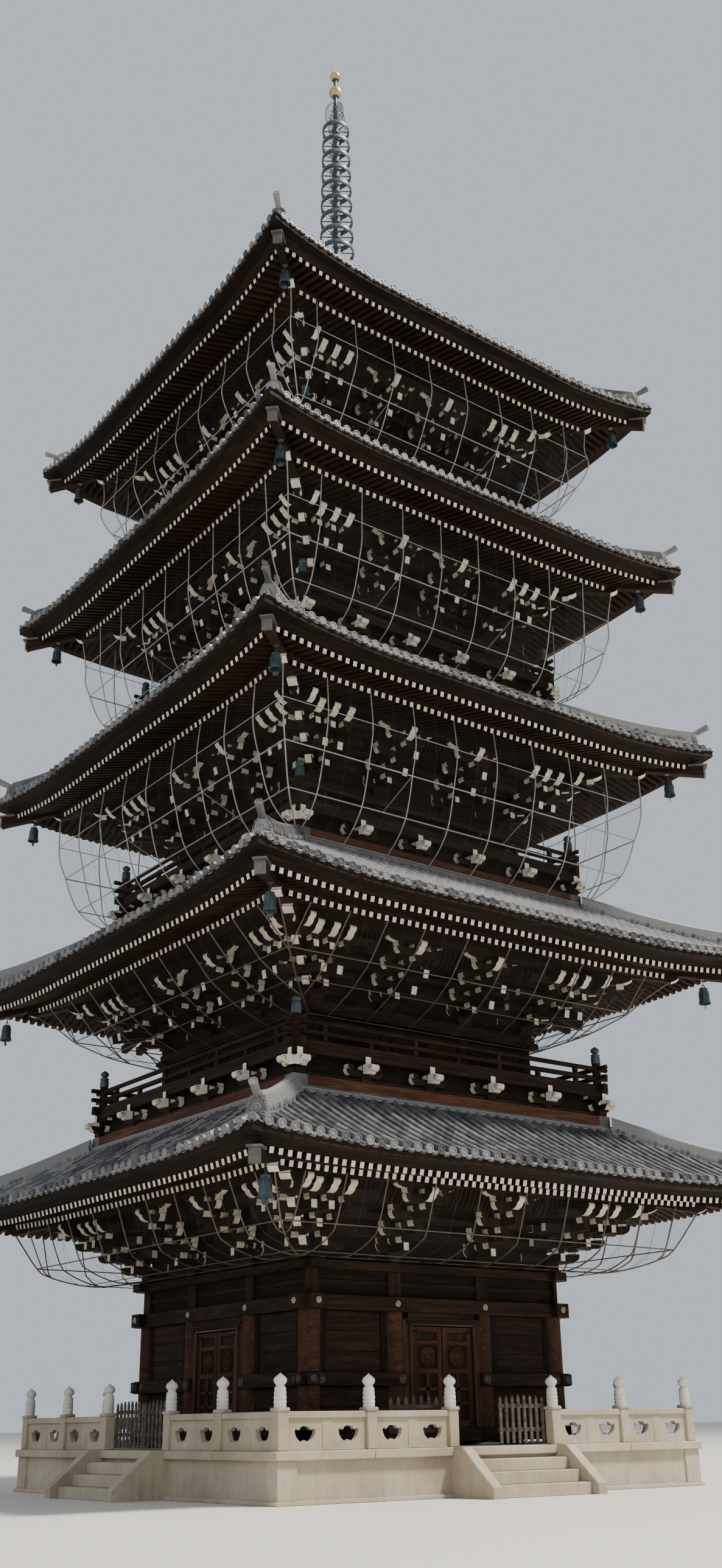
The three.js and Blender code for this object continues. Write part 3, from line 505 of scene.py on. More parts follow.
def roof_tile():
    """Smoked clay. A tone under 0.3 is a flat tile in a valley, darkened as painted shade between the round rows; one
    over 0.36 a round tile.
    """
    g = Graph("roof_tile", 0.42)
    place = g.place()
    cloud = g.noise(place, 3.2, 6, 0.65)
    fine = g.noise(place, 55, 4, 0.7)
    # tones under 0.3 are painted shade for the valleys between the round rows
    colour = g.ramp(g.attribute("tone", "Fac"), (0.0, (0.030, 0.030, 0.033)), (0.28, (0.062, 0.062, 0.066)),
                    (0.36, (0.135, 0.134, 0.136)), (1.0, (0.24, 0.237, 0.235)))
    colour = g.mix(g.grey(cloud, 0.42, 0.72, 0, 0.5), colour, (0.25, 0.243, 0.236))
    colour = g.mix(g.grey(fine, 0.5, 0.75, 0, 0.6), colour, (0.060, 0.062, 0.067))
    lichen = g.grey(g.noise(place, 14, 5, 0.7), 0.62, 0.7, 0, 0.5)
    g.colour(g.mix(lichen, colour, (0.23, 0.22, 0.185)))
    g.rough(g.grey(fine, 0.3, 0.7, 0.34, 0.62))
    g.bump(g.math("ADD", fine, g.math("MULTIPLY", cloud, 2.0)), 0.35, 0.003)


def carved_stone():
    """Warm granite with crystals, blotches, and dark runs that are strongest near the ground"""
    g = Graph("carved_stone", 0.85)
    place = g.place()
    broad = g.noise(place, 0.9, 6, 0.62)
    blotch = g.noise(place, 6.5, 6, 0.7)
    grains = g.noise(place, 120, 3, 0.7)
    colour = g.ramp(broad, (0.3, (0.29, 0.235, 0.155)), (0.5, (0.42, 0.355, 0.255)), (0.72, (0.52, 0.455, 0.345)))
    colour = g.mix(g.grey(blotch, 0.45, 0.75, 0, 0.5), colour, (0.30, 0.255, 0.19))
    colour = g.mix(g.grey(g.spots(place, 190), 0.0, 0.35, 0.45, 0), colour, (0.17, 0.15, 0.125))
    colour = g.mix(g.grey(grains, 0.55, 0.75, 0, 0.5), colour, (0.66, 0.62, 0.54))
    height = g.new("ShaderNodeSeparateXYZ")
    g.put(height.inputs[0], place)
    streaks = g.noise(g.scaled(place, (9, 9, 0.7)), 1.5, 5, 0.65)
    low = g.grey(height.outputs[2], 0.0, 0.45, 0.55, 0.15)
    g.colour(g.mix(g.math("MULTIPLY", g.grey(streaks, 0.5, 0.75, 0, 1), low), colour, (0.20, 0.165, 0.12)))
    g.bump(g.math("ADD", grains, g.math("MULTIPLY", blotch, 1.5)), 0.5, 0.004)


def pale_granite():
    g = Graph("pale_granite", 0.8)
    place = g.place()
    speck = g.noise(place, 130, 3, 0.7)
    broad = g.noise(place, 5, 5, 0.65)
    colour = g.ramp(broad, (0.3, (0.50, 0.48, 0.44)), (0.5, (0.66, 0.645, 0.61)), (0.72, (0.76, 0.75, 0.72)))
    g.colour(g.mix(g.grey(speck, 0.5, 0.75, 0, 0.6), colour, (0.36, 0.34, 0.31)))
    g.bump(g.math("ADD", speck, g.math("MULTIPLY", broad, 1.5)), 0.4, 0.003)


def patina(name, finish, scale, rough, run_colour, *stops):
    """Bronze under a cloudy patina with pale runs down it"""
    g = Graph(name, *finish)
    place = g.place()
    cloud = g.noise(place, scale, 7, 0.68)
    drip = g.noise(g.scaled(place, (16, 16, 2)), 1.8, 4, 0.6)
    g.colour(g.mix(g.grey(drip, 0.55, 0.75, 0, 0.6), g.ramp(cloud, *stops), run_colour))
    g.rough(g.grey(cloud, 0.3, 0.7, *rough))
    g.bump(cloud, 0.35, 0.004)


def rod_metal(name, finish, *colours):
    """Drawn rod, marked along its length"""
    g = Graph(name, *finish)
    run = g.noise(g.scaled(g.attribute("grain"), (9, 40, 40)), 1.5, 5, 0.65)
    g.colour(g.ramp(run, *zip((0.3, 0.55, 0.75), colours)))
    g.rough(g.grey(run, 0.3, 0.7, 0.35, 0.6))
    g.bump(run, 0.2, 0.001)


def cloudy_metal(name, finish, noise, bump, *stops):
    g = Graph(name, *finish)
    cloud = g.noise(g.place(), *noise)
    g.colour(g.ramp(cloud, *stops))
    g.bump(cloud, *bump)
    return g, cloud


def bird_net():
    """Fine mesh seen from afar: a thin veil, denser where it folds"""
    g = Graph("bird_net", 0.9)
    slack = g.noise(g.place(), 2.6, 5, 0.65)
    g.colour(g.ramp(slack, (0.3, (0.035, 0.040, 0.042)), (0.7, (0.075, 0.080, 0.082))))
    g.put(g.bsdf.inputs["Alpha"], g.grey(slack, 0.3, 0.7, 0.045, 0.10))
    g.bump(slack, 0.2, 0.002)


def build_materials():
    """One material for each slot, in the order of the slots' names"""
    wood("old_timber", (0.0095, 0.0047, 0.0025), (0.024, 0.0120, 0.0062), (0.070, 0.035, 0.017))
    lime_ends()
    roof_tile()
    carved_stone()
    patina("bronze_patina", (0.5, 0.45), 7, (0.38, 0.68), (0.12, 0.17, 0.17),
           (0.3, (0.018, 0.028, 0.032)), (0.5, (0.045, 0.074, 0.083)), (0.68, (0.09, 0.14, 0.15)))
    rod_metal("galvanised_rod", (0.45, 0.55), (0.075, 0.058, 0.042), (0.145, 0.118, 0.092), (0.25, 0.222, 0.185))
    wood("red_beam", (0.045, 0.016, 0.008), (0.105, 0.040, 0.019), (0.19, 0.088, 0.045), 0.7, 0.5)
    cloudy_metal("lead_sheet", (0.55, 0.35), (8, 6, 0.65), (0.25, 0.003),
                 (0.3, (0.065, 0.063, 0.060)), (0.55, (0.115, 0.110, 0.104)), (0.75, (0.19, 0.182, 0.17)))
    g, cloud = cloudy_metal("gilded_bronze", (0.38, 0.8), (9, 6, 0.65), (0.2, 0.002),
                            (0.3, (0.34, 0.27, 0.11)), (0.5, (0.58, 0.47, 0.21)), (0.72, (0.74, 0.63, 0.33)))
    g.rough(g.grey(cloud, 0.3, 0.7, 0.3, 0.55))
    # a darker copy of the timber, painted shade for wall boards, ceilings and backings that sit in shade
    wood("shaded_timber", (0.005, 0.0028, 0.0016), (0.0115, 0.0068, 0.0040), (0.026, 0.016, 0.0095), 0.8, 0.4)
    cloudy_metal("black_iron", (0.6, 0.5), (22, 6, 0.7), (0.3, 0.002),
                 (0.35, (0.03, 0.03, 0.03)), (0.6, (0.09, 0.085, 0.08)), (0.75, (0.20, 0.14, 0.10)))
    wood("grey_timber", (0.050, 0.043, 0.036), (0.12, 0.10, 0.085), (0.23, 0.20, 0.17), 0.85, 0.3)
    wood("eave_boards", (0.0055, 0.0031, 0.0019), (0.0135, 0.0078, 0.0045), (0.040, 0.023, 0.0125), 0.8, 0.45)
    wood("post_timber", (0.024, 0.0095, 0.0050), (0.062, 0.026, 0.0135), (0.125, 0.057, 0.030), 0.72, 0.4)
    pale_granite()
    patina("mast_metal", (0.42, 0.5), 8, (0.34, 0.6), (0.22, 0.235, 0.24),
           (0.3, (0.022, 0.030, 0.036)), (0.5, (0.052, 0.066, 0.076)), (0.7, (0.115, 0.132, 0.145)))
    rod_metal("zinc_rod", (0.42, 0.3), (0.20, 0.20, 0.195), (0.36, 0.36, 0.35), (0.52, 0.52, 0.50))
    bird_net()


build_materials()


# ---------------------------------------------------------------- eave geometry
def curve(u):
    """0 along the straight middle of an eave, 1 at its corner"""
    return np.maximum(0, (np.abs(u) - STRAIGHT) / CURVED) ** 2


def bow(s, x):
    return BOW * (1 - curve(np.asarray(x) / EAVE[s]))


def lift(s, x, d):
    """Rise of the eaves above mid-side, at x along the side and d from the axis"""
    purlin = WALL[s] + PURLIN_OUT
    share = np.clip((d - purlin) / (EAVE[s] - purlin), 0, 1)
    return (CORNER_Z[s] - EAVE_Z[s]) * curve(2 * np.abs(x) / (EAVE[s] + d)) * share


def spot(s, x, inset, dz):
    """A point of the front eaves, inset from the eave line and dz from its height"""
    d = EAVE[s] - bow(s, x) - inset
    return np.array([x, -d, EAVE_Z[s] + dz + lift(s, x, d)])


def tile_top(s, x, d):
    """Height of the crests of the round tiles"""
    top_half, top_z = ROOF_TOP[s]
    c = curve(np.clip(np.abs(x) / d, 0, 1))
    start = EAVE_Z[s] + (CORNER_Z[s] - EAVE_Z[s]) * c + 40
    half = EAVE[s] - BOW * (1 - c)
    q = (half - d) / (half - top_half)
    bend = 0.8 if s < 4 else 0.62
    return start + (top_z - start) * (bend * q + (1 - bend) * q * q)


def strip(h, s, points, mat):
    """A band along the front eaves through (inset, dz) points, given from its top outer edge on"""
    grid = []
    for v in np.linspace(-1, 1, 41):
        line = []
        for inset, dz in points:
            d = EAVE[s] - bow(s, v * EAVE[s]) - inset
            line.append([v * d, -d, EAVE_Z[s] + dz + lift(s, v * d, d)])
        grid.append(line)
    sheet_grid(h, grid, mat)


def symmetric(right, top=()):
    """An outline from its right half, with the points between the two halves"""
    return right + list(top) + [(-a, b) for a, b in right[::-1]]


# ---------------------------------------------------------------- tiled roofs
DISC = [(46, 2), (44, 8), (35, 8), (32, 1), (21, 1)]  # rim of an eave tile's disc
RIDGE = symmetric([(96, -70), (96, 22), (86, 22), (86, 46), (79, 46), (79, 70), (72, 70), (72, 94), (64, 94),
                   (64, 118), (44, 118), (38, 142), (22, 158)], [(0, 164)])


def eave_cap():
    h = Heap()
    lathe(h, [(44, -30)] + DISC + [(17, 6), (0, 5)], 12, axis=FRONT, mat=TILE)
    return h


def eave_lip():
    """The hanging front edges of two flat tiles between round rows"""
    h = Heap()
    t = np.linspace(-1, 1, 5)
    for top, drop, front, back in ((-3, 26, 2, 26), (-31, 12, 14, 34), (-46, 9, 24, 44)):
        upper = [(46 * v, top - 15 * (1 - v * v)) for v in t]
        lower = [(46 * v, top - drop * 0.55 - (drop * 0.45 + 15) * (1 - v * v)) for v in t]
        prism(h, lower + upper[::-1], front, back, mat=TILE)
    return h


def flat_tiles(h, s, count):
    """A valley between each two round rows"""
    e, top_half = EAVE[s], ROOF_TOP[s][0]
    columns = np.arange(-2 * count - 3, 2 * count + 4) * PITCH / 2
    columns = columns[np.abs(columns) < e - 20]
    steps = np.linspace(0, 1, 13)
    grid = []
    for x in columns:
        d0 = e - bow(s, x) - 6
        d = d0 + (min(max(top_half, abs(x)), d0) - d0) * steps
        valley = 50 if round(x / (PITCH / 2)) % 2 == 0 else 76
        grid.append(np.column_stack([np.full(len(d), x), -d, tile_top(s, x, d) - valley]))
    # low tones here are painted shade in the valleys between the round rows
    sheet_grid(h, grid, TILE, tone=rng.uniform(0, 0.28, len(columns) * len(steps)), flip=True)


def round_tiles(h, s, count, cap, lip):
    """Rows of round tiles, each lapping over the next one up, with their eave tiles"""
    e, top_half = EAVE[s], ROOF_TOP[s][0]
    angle = np.radians(np.array([-14, 40, 90, 140, 194]))
    for i in range(-count, count + 1):
        x = i * PITCH
        d0 = float(e - bow(s, x) - 4)
        d1 = max(top_half - 4, abs(x) + 50)
        h.stamp(cap, at=(x, -d0, float(tile_top(s, x, d0)) - COVER))
        if i < count:
            x2 = x + PITCH / 2
            d2 = e - bow(s, x2)
            h.stamp(lip, at=(x2, -float(d2), float(tile_top(s, x2, d2)) - COVER))
        if d0 - d1 < 60:
            continue
        edges = np.append(np.arange(d0, d1 + 40, -TILE_LENGTH), d1)
        d = np.repeat(edges, 2)[1:-1]
        r = np.tile([COVER, LAPPED], len(edges) - 1)
        z = tile_top(s, x, d) - COVER
        grid = np.stack([x + r[:, None] * np.cos(angle), np.repeat(-d[:, None], len(angle), 1),
                         z[:, None] + r[:, None] * np.sin(angle)], -1)
        tone = np.repeat(np.repeat(rng.uniform(0.58, 0.95, len(edges) - 1), 2), len(angle))
        sheet_grid(h, grid, TILE, tone=tone, flip=True)


def top_courses(h, s):
    """Thin courses under the beam of the balcony above, or under the spire"""
    if s < 4:
        foot, top, half = ROOF_TOP[s][1] - 62, BEAM_TOP[s] - 112, BEAM_HALF[s]
        for k in range(4):
            z, reach = foot + (top - foot) * k / 4, half + 62 - 9 * k
            box(h, -reach, reach, -reach, -half + 40, z, z + (top - foot) / 4 - 4, mat=TILE, chamfer=3)
    else:
        for k in range(3):
            z, reach = 15760 + 26 * k, 400 - 12 * k
            box(h, -reach, reach, -reach, -300, z, z + 22, mat=TILE, chamfer=3)


def hip_ridge(h, s):
    """Ridge on the front left corner, with arched end tiles along both its feet"""
    e = EAVE[s]
    d = np.linspace(ROOF_TOP[s][0] + 10, e - 190, 16)
    swell = 30 * np.clip((d - e + 700) / 510, 0, 1) ** 2
    path = np.column_stack([-d, -d, tile_top(s, d, d) - 30 + swell])
    sweep(h, path, RIDGE, TILE)
    length = np.linalg.norm(path[-1] - path[0])
    for sign in (-1, 1):
        for t in np.arange(0.0, length - 60, 62):
            k = t / length * (len(path) - 1)
            i = min(int(k), len(path) - 2)
            p = path[i] + (path[i + 1] - path[i]) * (k - i) + sign * ACROSS * 98 + rise(6)
            lathe(h, [(26, -8), (26, 5), (0, 9)], 8, at=p, axis=sign * ACROSS, mat=TILE)
    ridge_end(h, np.array((185 - e, 185 - e, CORNER_Z[s] + 15.0)))
    lathe(h, [(44, -200)] + DISC + [(18, 6), (0, 5)], 14, at=(30 - e, 30 - e, CORNER_Z[s] - 3), axis=OUT, mat=TILE)


def ridge_end(h, at):
    """Ornament tile that closes a hip ridge, with a beaded border, and the round tile that rises over it"""
    outline = [(-92, -40), (92, -40), (104, 10), (96, 95), (72, 165), (40, 205), (0, 216), (-40, 205), (-72, 165),
               (-96, 95), (-104, 10)]
    prism(h, outline, 0, 46, origin=at, mat=TILE, **FACING_CORNER)
    prism(h, [(0.78 * a, 0.8 * b + 12) for a, b in outline], 40, 58, origin=at, mat=TILE, **FACING_CORNER)
    for (a, b), (a2, b2) in zip(outline, outline[1:] + outline[:1]):
        steps = max(1, round(math.hypot(a2 - a, b2 - b) / 26))
        for k in range(steps):
            p = (a + (a2 - a) * k / steps) * 0.9, (b + (b2 - b) * k / steps) * 0.9 + 8
            lathe(h, [(9, 0), (7, 6), (0, 9)], 6, at=at + p[0] * ACROSS + rise(p[1]) + OUT * 46, axis=OUT, mat=TILE)
    lathe(h, [(46, 0), (46, 12), (34, 16), (30, 10), (20, 14), (0, 24)], 14, at=at + rise(92) + OUT * 58, axis=OUT,
          mat=TILE)
    for side in (-1, 1):
        spiral = []
        for t in np.linspace(0, 2.2 * math.pi, 16):
            r = 34 - 3.6 * t
            spiral.append(at + ACROSS * (side * (58 + r * math.cos(t))) + rise(30 + r * math.sin(t)) + OUT * 60)
        tube(h, spiral, 8, 5, TILE)
    foot, tip = at + rise(175) - OUT * 40, at + OUT * 205 + rise(300)
    n = np.linalg.norm(tip - foot)
    lathe(h, [(36, 0), (36, n * 0.5), (42, n - 12), (44, n), (34, n), (31, n - 6), (14, n - 5), (0, n)], 14, at=foot,
          axis=unit(tip - foot), mat=TILE)


def tiled_roof(s):
    h = Heap()
    count = int((EAVE[s] - 110) / PITCH)
    cap, lip = eave_cap(), eave_lip()
    flat_tiles(h, s, count)
    round_tiles(h, s, count, cap, lip)
    top_courses(h, s)
    hip_ridge(h, s)
    return h.quarters()


# ---------------------------------------------------------------- eaves: boards, rafters, hips, bells
def underside(s, d):
    return EAVE_Z[s] - 200 + (EAVE[s] - BASE - d) * SLOPE


def rafters(s):
    h = Heap()
    e = EAVE[s]
    root = e - WALL[s] - PURLIN_OUT         # inset of the purlin
    strip(h, s, [(6, -30), (22, -46), (22, -104), (150, -110)], EDGE)
    strip(h, s, [(150, -108), (214, -158), (236, -158)], EDGE)
    strip(h, s, [(232, -157), (700, -21)], DARK)
    strip(h, s, [(636, -88), (640, -142), (705, -142)], WOOD)
    strip(h, s, [(655, -140), (root + 60, -140 + (root + 60 - 655) * SLOPE)], DARK)
    number = int((e - FLYING - 70) / RAFTER_PITCH + 0.5)
    for i in range(-number, number):
        x = (i + 0.5) * RAFTER_PITCH
        reach = e - float(bow(s, x)) - abs(x) - 30
        for tip, dz, slope, deepest in ((FLYING, -188, 0.29, 735), (BASE, -170, SLOPE, root + 30)):
            inner = min(deepest, reach)
            if inner - tip > 50:
                beam(h, spot(s, x, tip, dz), spot(s, x, inner, dz + slope * (inner - tip)), 50, 60, WOOD, 2, WHITE)
    hips(h, s)
    return h.quarters()


BELL = 437                                  # inset of the bells
PALE_ENDS = [WOOD, WHITE, WHITE, WOOD, WHITE, WHITE]  # edges of a bearing block, from its foot round


def hips(h, s):
    """Hip rafters, metal caps and bell of the front left corner. Outlines are (distance out, z)."""
    e, z = EAVE[s], CORNER_Z[s]

    def far(inset):
        return (e - inset) * math.sqrt(2)

    def points(*pairs):
        """Outline points from insets and heights, both from the corner of the eave"""
        return [(far(inset), z + dz) for inset, dz in pairs]

    prism(h, points((HIP_TIP, -243), (HIP_TIP, -378), (BELL, -308), (700, -240), (1100, -150), (1100, -20),
                    (600, -110)), -48, 48, **TO_CORNER)
    mats = [WHITE] * 5 + [WOOD] * 3
    prism(h, points((640, -246), (640, -276), (634, -286), (648, -300), (662, -312), (700, -328), (1500, -120),
                    (1500, 20)), -52, 52, edge_mats=mats, **TO_CORNER)
    low, root = underside(s, WALL[s] + PURLIN_OUT) - 110, far(e - WALL[s] - 100)
    third = points((1030, -233), (1030, -262), (1024, -272), (1040, -286), (1060, -300), (1100, -312))
    prism(h, third + [(root, low - 120), (root, low + 60)], -56, 56, edge_mats=mats, **TO_CORNER)
    # cream block under the lowest hip arm, metal sheets over the tip
    prism(h, [(-34, 0), (34, 0), (48, 24), (48, 66), (-48, 66), (-48, 24)], -44, 44,
          origin=OUT * far(1130) + rise(z - 382), edge_mats=PALE_ENDS, **FACING_CORNER)
    prism(h, points((HIP_TIP - 5, -240), (HIP_TIP - 5, -384), (HIP_TIP + 12, -384), (HIP_TIP + 12, -240)), -54, 54,
          mat=PALE, **TO_CORNER)
    prism(h, points((HIP_TIP - 28, -222), (HIP_TIP - 28, -242), (250, -240), (250, -212)), -70, 70, mat=PALE,
          **TO_CORNER)
    bell(h, OUT * far(BELL) + rise(z))


def bell(h, at):
    """Wind bell with its clapper and wind plate, hung under the hip rafter"""
    lathe(h, [(0, -312), (34, -310), (34, -304), (0, -302)], 10, at=at, mat=PALE)
    upper = [at + rise(-356 + 24 * math.cos(t)) + ACROSS * 13 * math.sin(t) for t in FULL_TURN]
    tube(h, upper, 4, 5, IRON, closed=True)
    tube(h, [at + rise(-310), at + rise(-336)], 4, 5, IRON)
    lower = [at + rise(-392 + 20 * math.cos(t)) + OUT * 15 * math.sin(t) for t in FULL_TURN]
    tube(h, lower, 6, 5, BRONZE, closed=True)
    profile = [(0, -450), (44, -470), (62, -602), (72, -606), (68, -590), (60, -560), (50, -440), (47, -432),
               (49, -424), (46, -412), (30, -407), (0, -407)]
    lathe(h, profile, 24, at=at, mat=BRONZE, wave=scalloped(range(2, 6), 8, 0.06))
    for k in range(4):
        turn = turn_z(90 * k) @ OUT
        slab(h, at + turn * 58 + rise(-500), (110, 7, 8), [UP, turn, np.cross(UP, turn)], BRONZE)
    tube(h, [at + rise(-450), at + rise(-625)], 4, 5, IRON)
    prism(h, [(-26, -625), (26, -625), (34, -648), (22, -672), (-22, -672), (-34, -648)], -3, 3, origin=at, mat=BRONZE,
          **FACING_CORNER)


# ---------------------------------------------------------------- brackets
BIG_BLOCK, BIG_BLOCK_TOP = [(-66, 0), (66, 0), (98, 36), (98, 108), (-98, 108), (-98, 36)], 108
PURLIN_HIGH = 96


def arm(h, centre, length, height, width=70):
    """A bracket arm: upright end faces over curved undersides, limewashed. centre is at its foot."""
    k = length / 2
    outline = symmetric([(k - 66, 0), (k - 42, 5), (k - 22, 18), (k - 8, 36), (k, 56), (k, height)])
    mats = [WOOD, *[WHITE] * 4, WOOD, *[WHITE] * 4, WOOD, WOOD]
    prism(h, outline, -width / 2, width / 2, origin=centre, edge_mats=mats)


def block(h, centre, size, height):
    k = size / 2
    outline = [(-0.64 * k, 0), (0.64 * k, 0), (k, 0.36 * height), (k, height), (-k, height), (-k, 0.36 * height)]
    prism(h, outline, -k * 0.96, k * 0.96, origin=centre, edge_mats=PALE_ENDS)


def nosing(h, root, width):
    """A beam end cut in an S, its end and underside limewashed; root is at its lower inner corner"""
    outline = [(0, 0), (58, 0), (92, 8), (122, 22), (142, 42), (150, 62), (172, 70), (188, 88), (194, 108), (184, 128),
               (160, 132), (120, 124), (0, 124)]
    mats = [WOOD] + [WHITE] * 9 + [WOOD] * 3
    prism(h, outline, -width / 2, width / 2, origin=root, edge_mats=mats, **TO_FRONT)


def levels(s):
    """Height of the bracket zone, feet and pitch of its four rows, and a row's shares for arm and block"""
    height = underside(s, WALL[s] + PURLIN_OUT) - PURLIN_HIGH - PLATE_TOP[s]
    pitch = (height - BIG_BLOCK_TOP - BOLSTER) / 4
    return height, [BIG_BLOCK_TOP + pitch * k for k in range(4)], pitch, pitch * 0.59, pitch * 0.41


def bracket_set(s):
    """Three-stepped bracket over a column, at the wall line and the plate's top"""
    h = Heap()
    height, z, pitch, arm_high, block_high = levels(s)
    prism(h, BIG_BLOCK, -94, 94)
    for k in range(3):
        box(h, -35, 35, -STEPS[k + 1] - 70, 60, z[k] + 4, z[k] + arm_high, "y", WOOD, 2, WHITE if k == 0 else None)
        block(h, (0, -STEPS[k + 1], z[k] + arm_high), 100, block_high)
    cloud_bolster(h, (0, -STEPS[3], z[3] + pitch), 780)
    for k, (o, length) in enumerate(zip(STEPS, (420, 560, 620, 560))):
        arm(h, (0, -o, z[k]), length, arm_high)
        for x in np.arange(-1, 2) * (length / 2 - 52):
            block(h, (x, -o, z[k] + arm_high), 96, block_high)
    nosing(h, (0, -STEPS[3] + 20, z[3] + 16), 86)
    if s > 0:
        tail_rafter(h, (0, -40, height - 190), (0, -800, height - 417))
        tail_rafter(h, (0, -40, height - 370), (0, -582, height - 551))
    return h


def cloud_bolster(h, centre, length):
    """A low beam under the purlin with cloud-cut limewashed ends; centre is at its foot"""
    k = length / 2
    outline = symmetric([(k - 128, 0), (k - 104, -10), (k - 84, 2), (k - 62, -4), (k - 44, 10), (k - 20, 12), (k, 30),
                         (k, BOLSTER)])
    prism(h, outline, -36, 36, origin=centre, edge_mats=([WHITE] * 6 + [WOOD, WOOD]) * 2)


def tail_rafter(h, a, b):
    beam(h, a, b, 76, 96, WOOD, 3, WHITE)


def corner_brackets(s):
    """Bracket set over the front left column, about the wall's corner"""
    height, z, _, arm_high, block_high = levels(s)
    half = Heap()
    for step in range(3):
        x, x2 = -STEPS[step], -STEPS[step + 1]
        for k in range(step, 3):
            box(half, x - 36, x + 36, -STEPS[k + 1] - 70, 400, z[k] + 1, z[k] + arm_high, "y", WOOD, 2,
                WHITE if step or k == 0 else None)
            block(half, (x, -STEPS[k + 1], z[k] + arm_high), 96, block_high)
        box(half, x2 - 40, x2 + 40, -STEPS[3] - 20, 400, z[3], z[3] + arm_high, "y")
        nosing(half, (x, -STEPS[3] + 20, z[3] + 16), 86)
        if s > 0 and step < 2:
            tail_rafter(half, (x2 + 96, -40, height - 370), (x2 + 96, -690, height - 520))
    box(half, -STEPS[3] - 36, -STEPS[3] + 36, -STEPS[3] - 140, 100, z[3] + 6, z[3] + arm_high + 6, "y")
    nosing(half, (-STEPS[3], -STEPS[3] - 130, z[3] + 20), 74)
    h = half.mirrored(SWAP)
    prism(h, BIG_BLOCK, -94, 94)
    for k in range(3):
        reach = (STEPS[k + 1] + 60) * math.sqrt(2)
        outline = [(-60, 0), (reach - 66, 0), (reach - 36, 8), (reach - 14, 26), (reach, 52), (reach, arm_high),
                   (-60, arm_high)]
        prism(h, outline, -38, 38, origin=(0, 0, z[k]), edge_mats=[WOOD, *[WHITE] * 4, WOOD, WOOD], **TO_CORNER)
        foot = block_high * 0.36
        prism(h, [(-30, 0), (30, 0), (46, foot), (46, block_high), (-46, block_high), (-46, foot)], -46, 46,
              origin=OUT * STEPS[k + 1] * math.sqrt(2) + rise(z[k] + arm_high),
              edge_mats=[WOOD, WHITE, WOOD, WOOD, WOOD, WHITE], **FACING_CORNER)
    return h


def bracket_zone(s):
    """Brackets, through beams, coved ceilings and purlin of one storey"""
    h = Heap()
    w, foot = WALL[s], PLATE_TOP[s]
    height, z, pitch, *_ = levels(s)
    one = bracket_set(s)
    for x in (-w * INNER, w * INNER):
        h.stamp(one, at=(x, -w, foot))
    h.stamp(corner_brackets(s), at=(-w, -w, foot))
    # wall boards behind the brackets, with their through beams
    box(h, -w, w, -w - 18, -w + 60, foot, foot + height + 260, mat=DARK)
    for k in (1, 3):
        box(h, -w - 60, w + 60, -w - 40, -w + 20, foot + z[k], foot + z[k] + pitch * 0.55)
    for k in (1, 2):
        o = w + STEPS[k]
        box(h, -o, o, -o - 28, -o + 28, foot + z[k + 1] + pitch * 0.08, foot + z[k + 1] + pitch * 0.5)
    purlin = w + PURLIN_OUT - 70
    top = underside(s, purlin + 70)
    box(h, -purlin - 100, purlin + 100, -purlin - 100, -purlin, top - PURLIN_HIGH, top, chamfer=4)
    # coved ceiling with thin ribs, then the flat one
    low, high = (w + STEPS[2] + 20, foot + z[3] + 10), (purlin - 4, top - 30)
    ledge = (w + STEPS[1], foot + z[3] - pitch * 0.3)
    line = (high, low, (ledge[0], ledge[1] + 30), (w + 10, ledge[1] + 20))
    sheet_grid(h, [[(v * d, -d, zz) for d, zz in line] for v in (-1, 0, 1)], DARK)
    mid = ((low[0] + high[0]) / 2 + 26, (low[1] + high[1]) / 2 - 22)
    for x in np.arange(-int(w / 66), int(w / 66) + 1) * 66.0:
        beam(h, (x, -low[0], low[1] - 8), (x, -mid[0], mid[1]), 20, 20)
        beam(h, (x, -mid[0], mid[1]), (x, -high[0], high[1] - 8), 20, 20)
    return h.quarters()


# ---------------------------------------------------------------- upper storeys
def ring(h, outer, inner, z0, z1, chamfer, reach=0):
    """One front beam of a square ring; reach makes it run past the corners"""
    box(h, -outer - reach, outer + reach, -outer, -inner, z0, z1, chamfer=chamfer)


def cloud_nosing(h, root):
    """Cloud-shaped beam end under a balcony, limewashed all round"""
    outline = [(0, 18), (62, 0), (92, 8), (104, 26), (130, 22), (154, 34), (166, 60), (158, 84), (136, 96), (112, 92),
               (96, 104), (60, 110), (0, 106)]
    prism(h, outline, -46, 46, origin=root, mat=WHITE, edge_mats=[WOOD] + [WHITE] * 12, **TO_FRONT)
    for side in (-1, 1):
        swirl = [np.asarray(root, float)
                 + np.array((side * 47, -120 - (24 - 3 * t) * math.cos(t), 62 + (24 - 3 * t) * math.sin(t)))
                 for t in np.linspace(0.4, 5.8, 12)]
        tube(h, swirl, 4, 4, GREY)


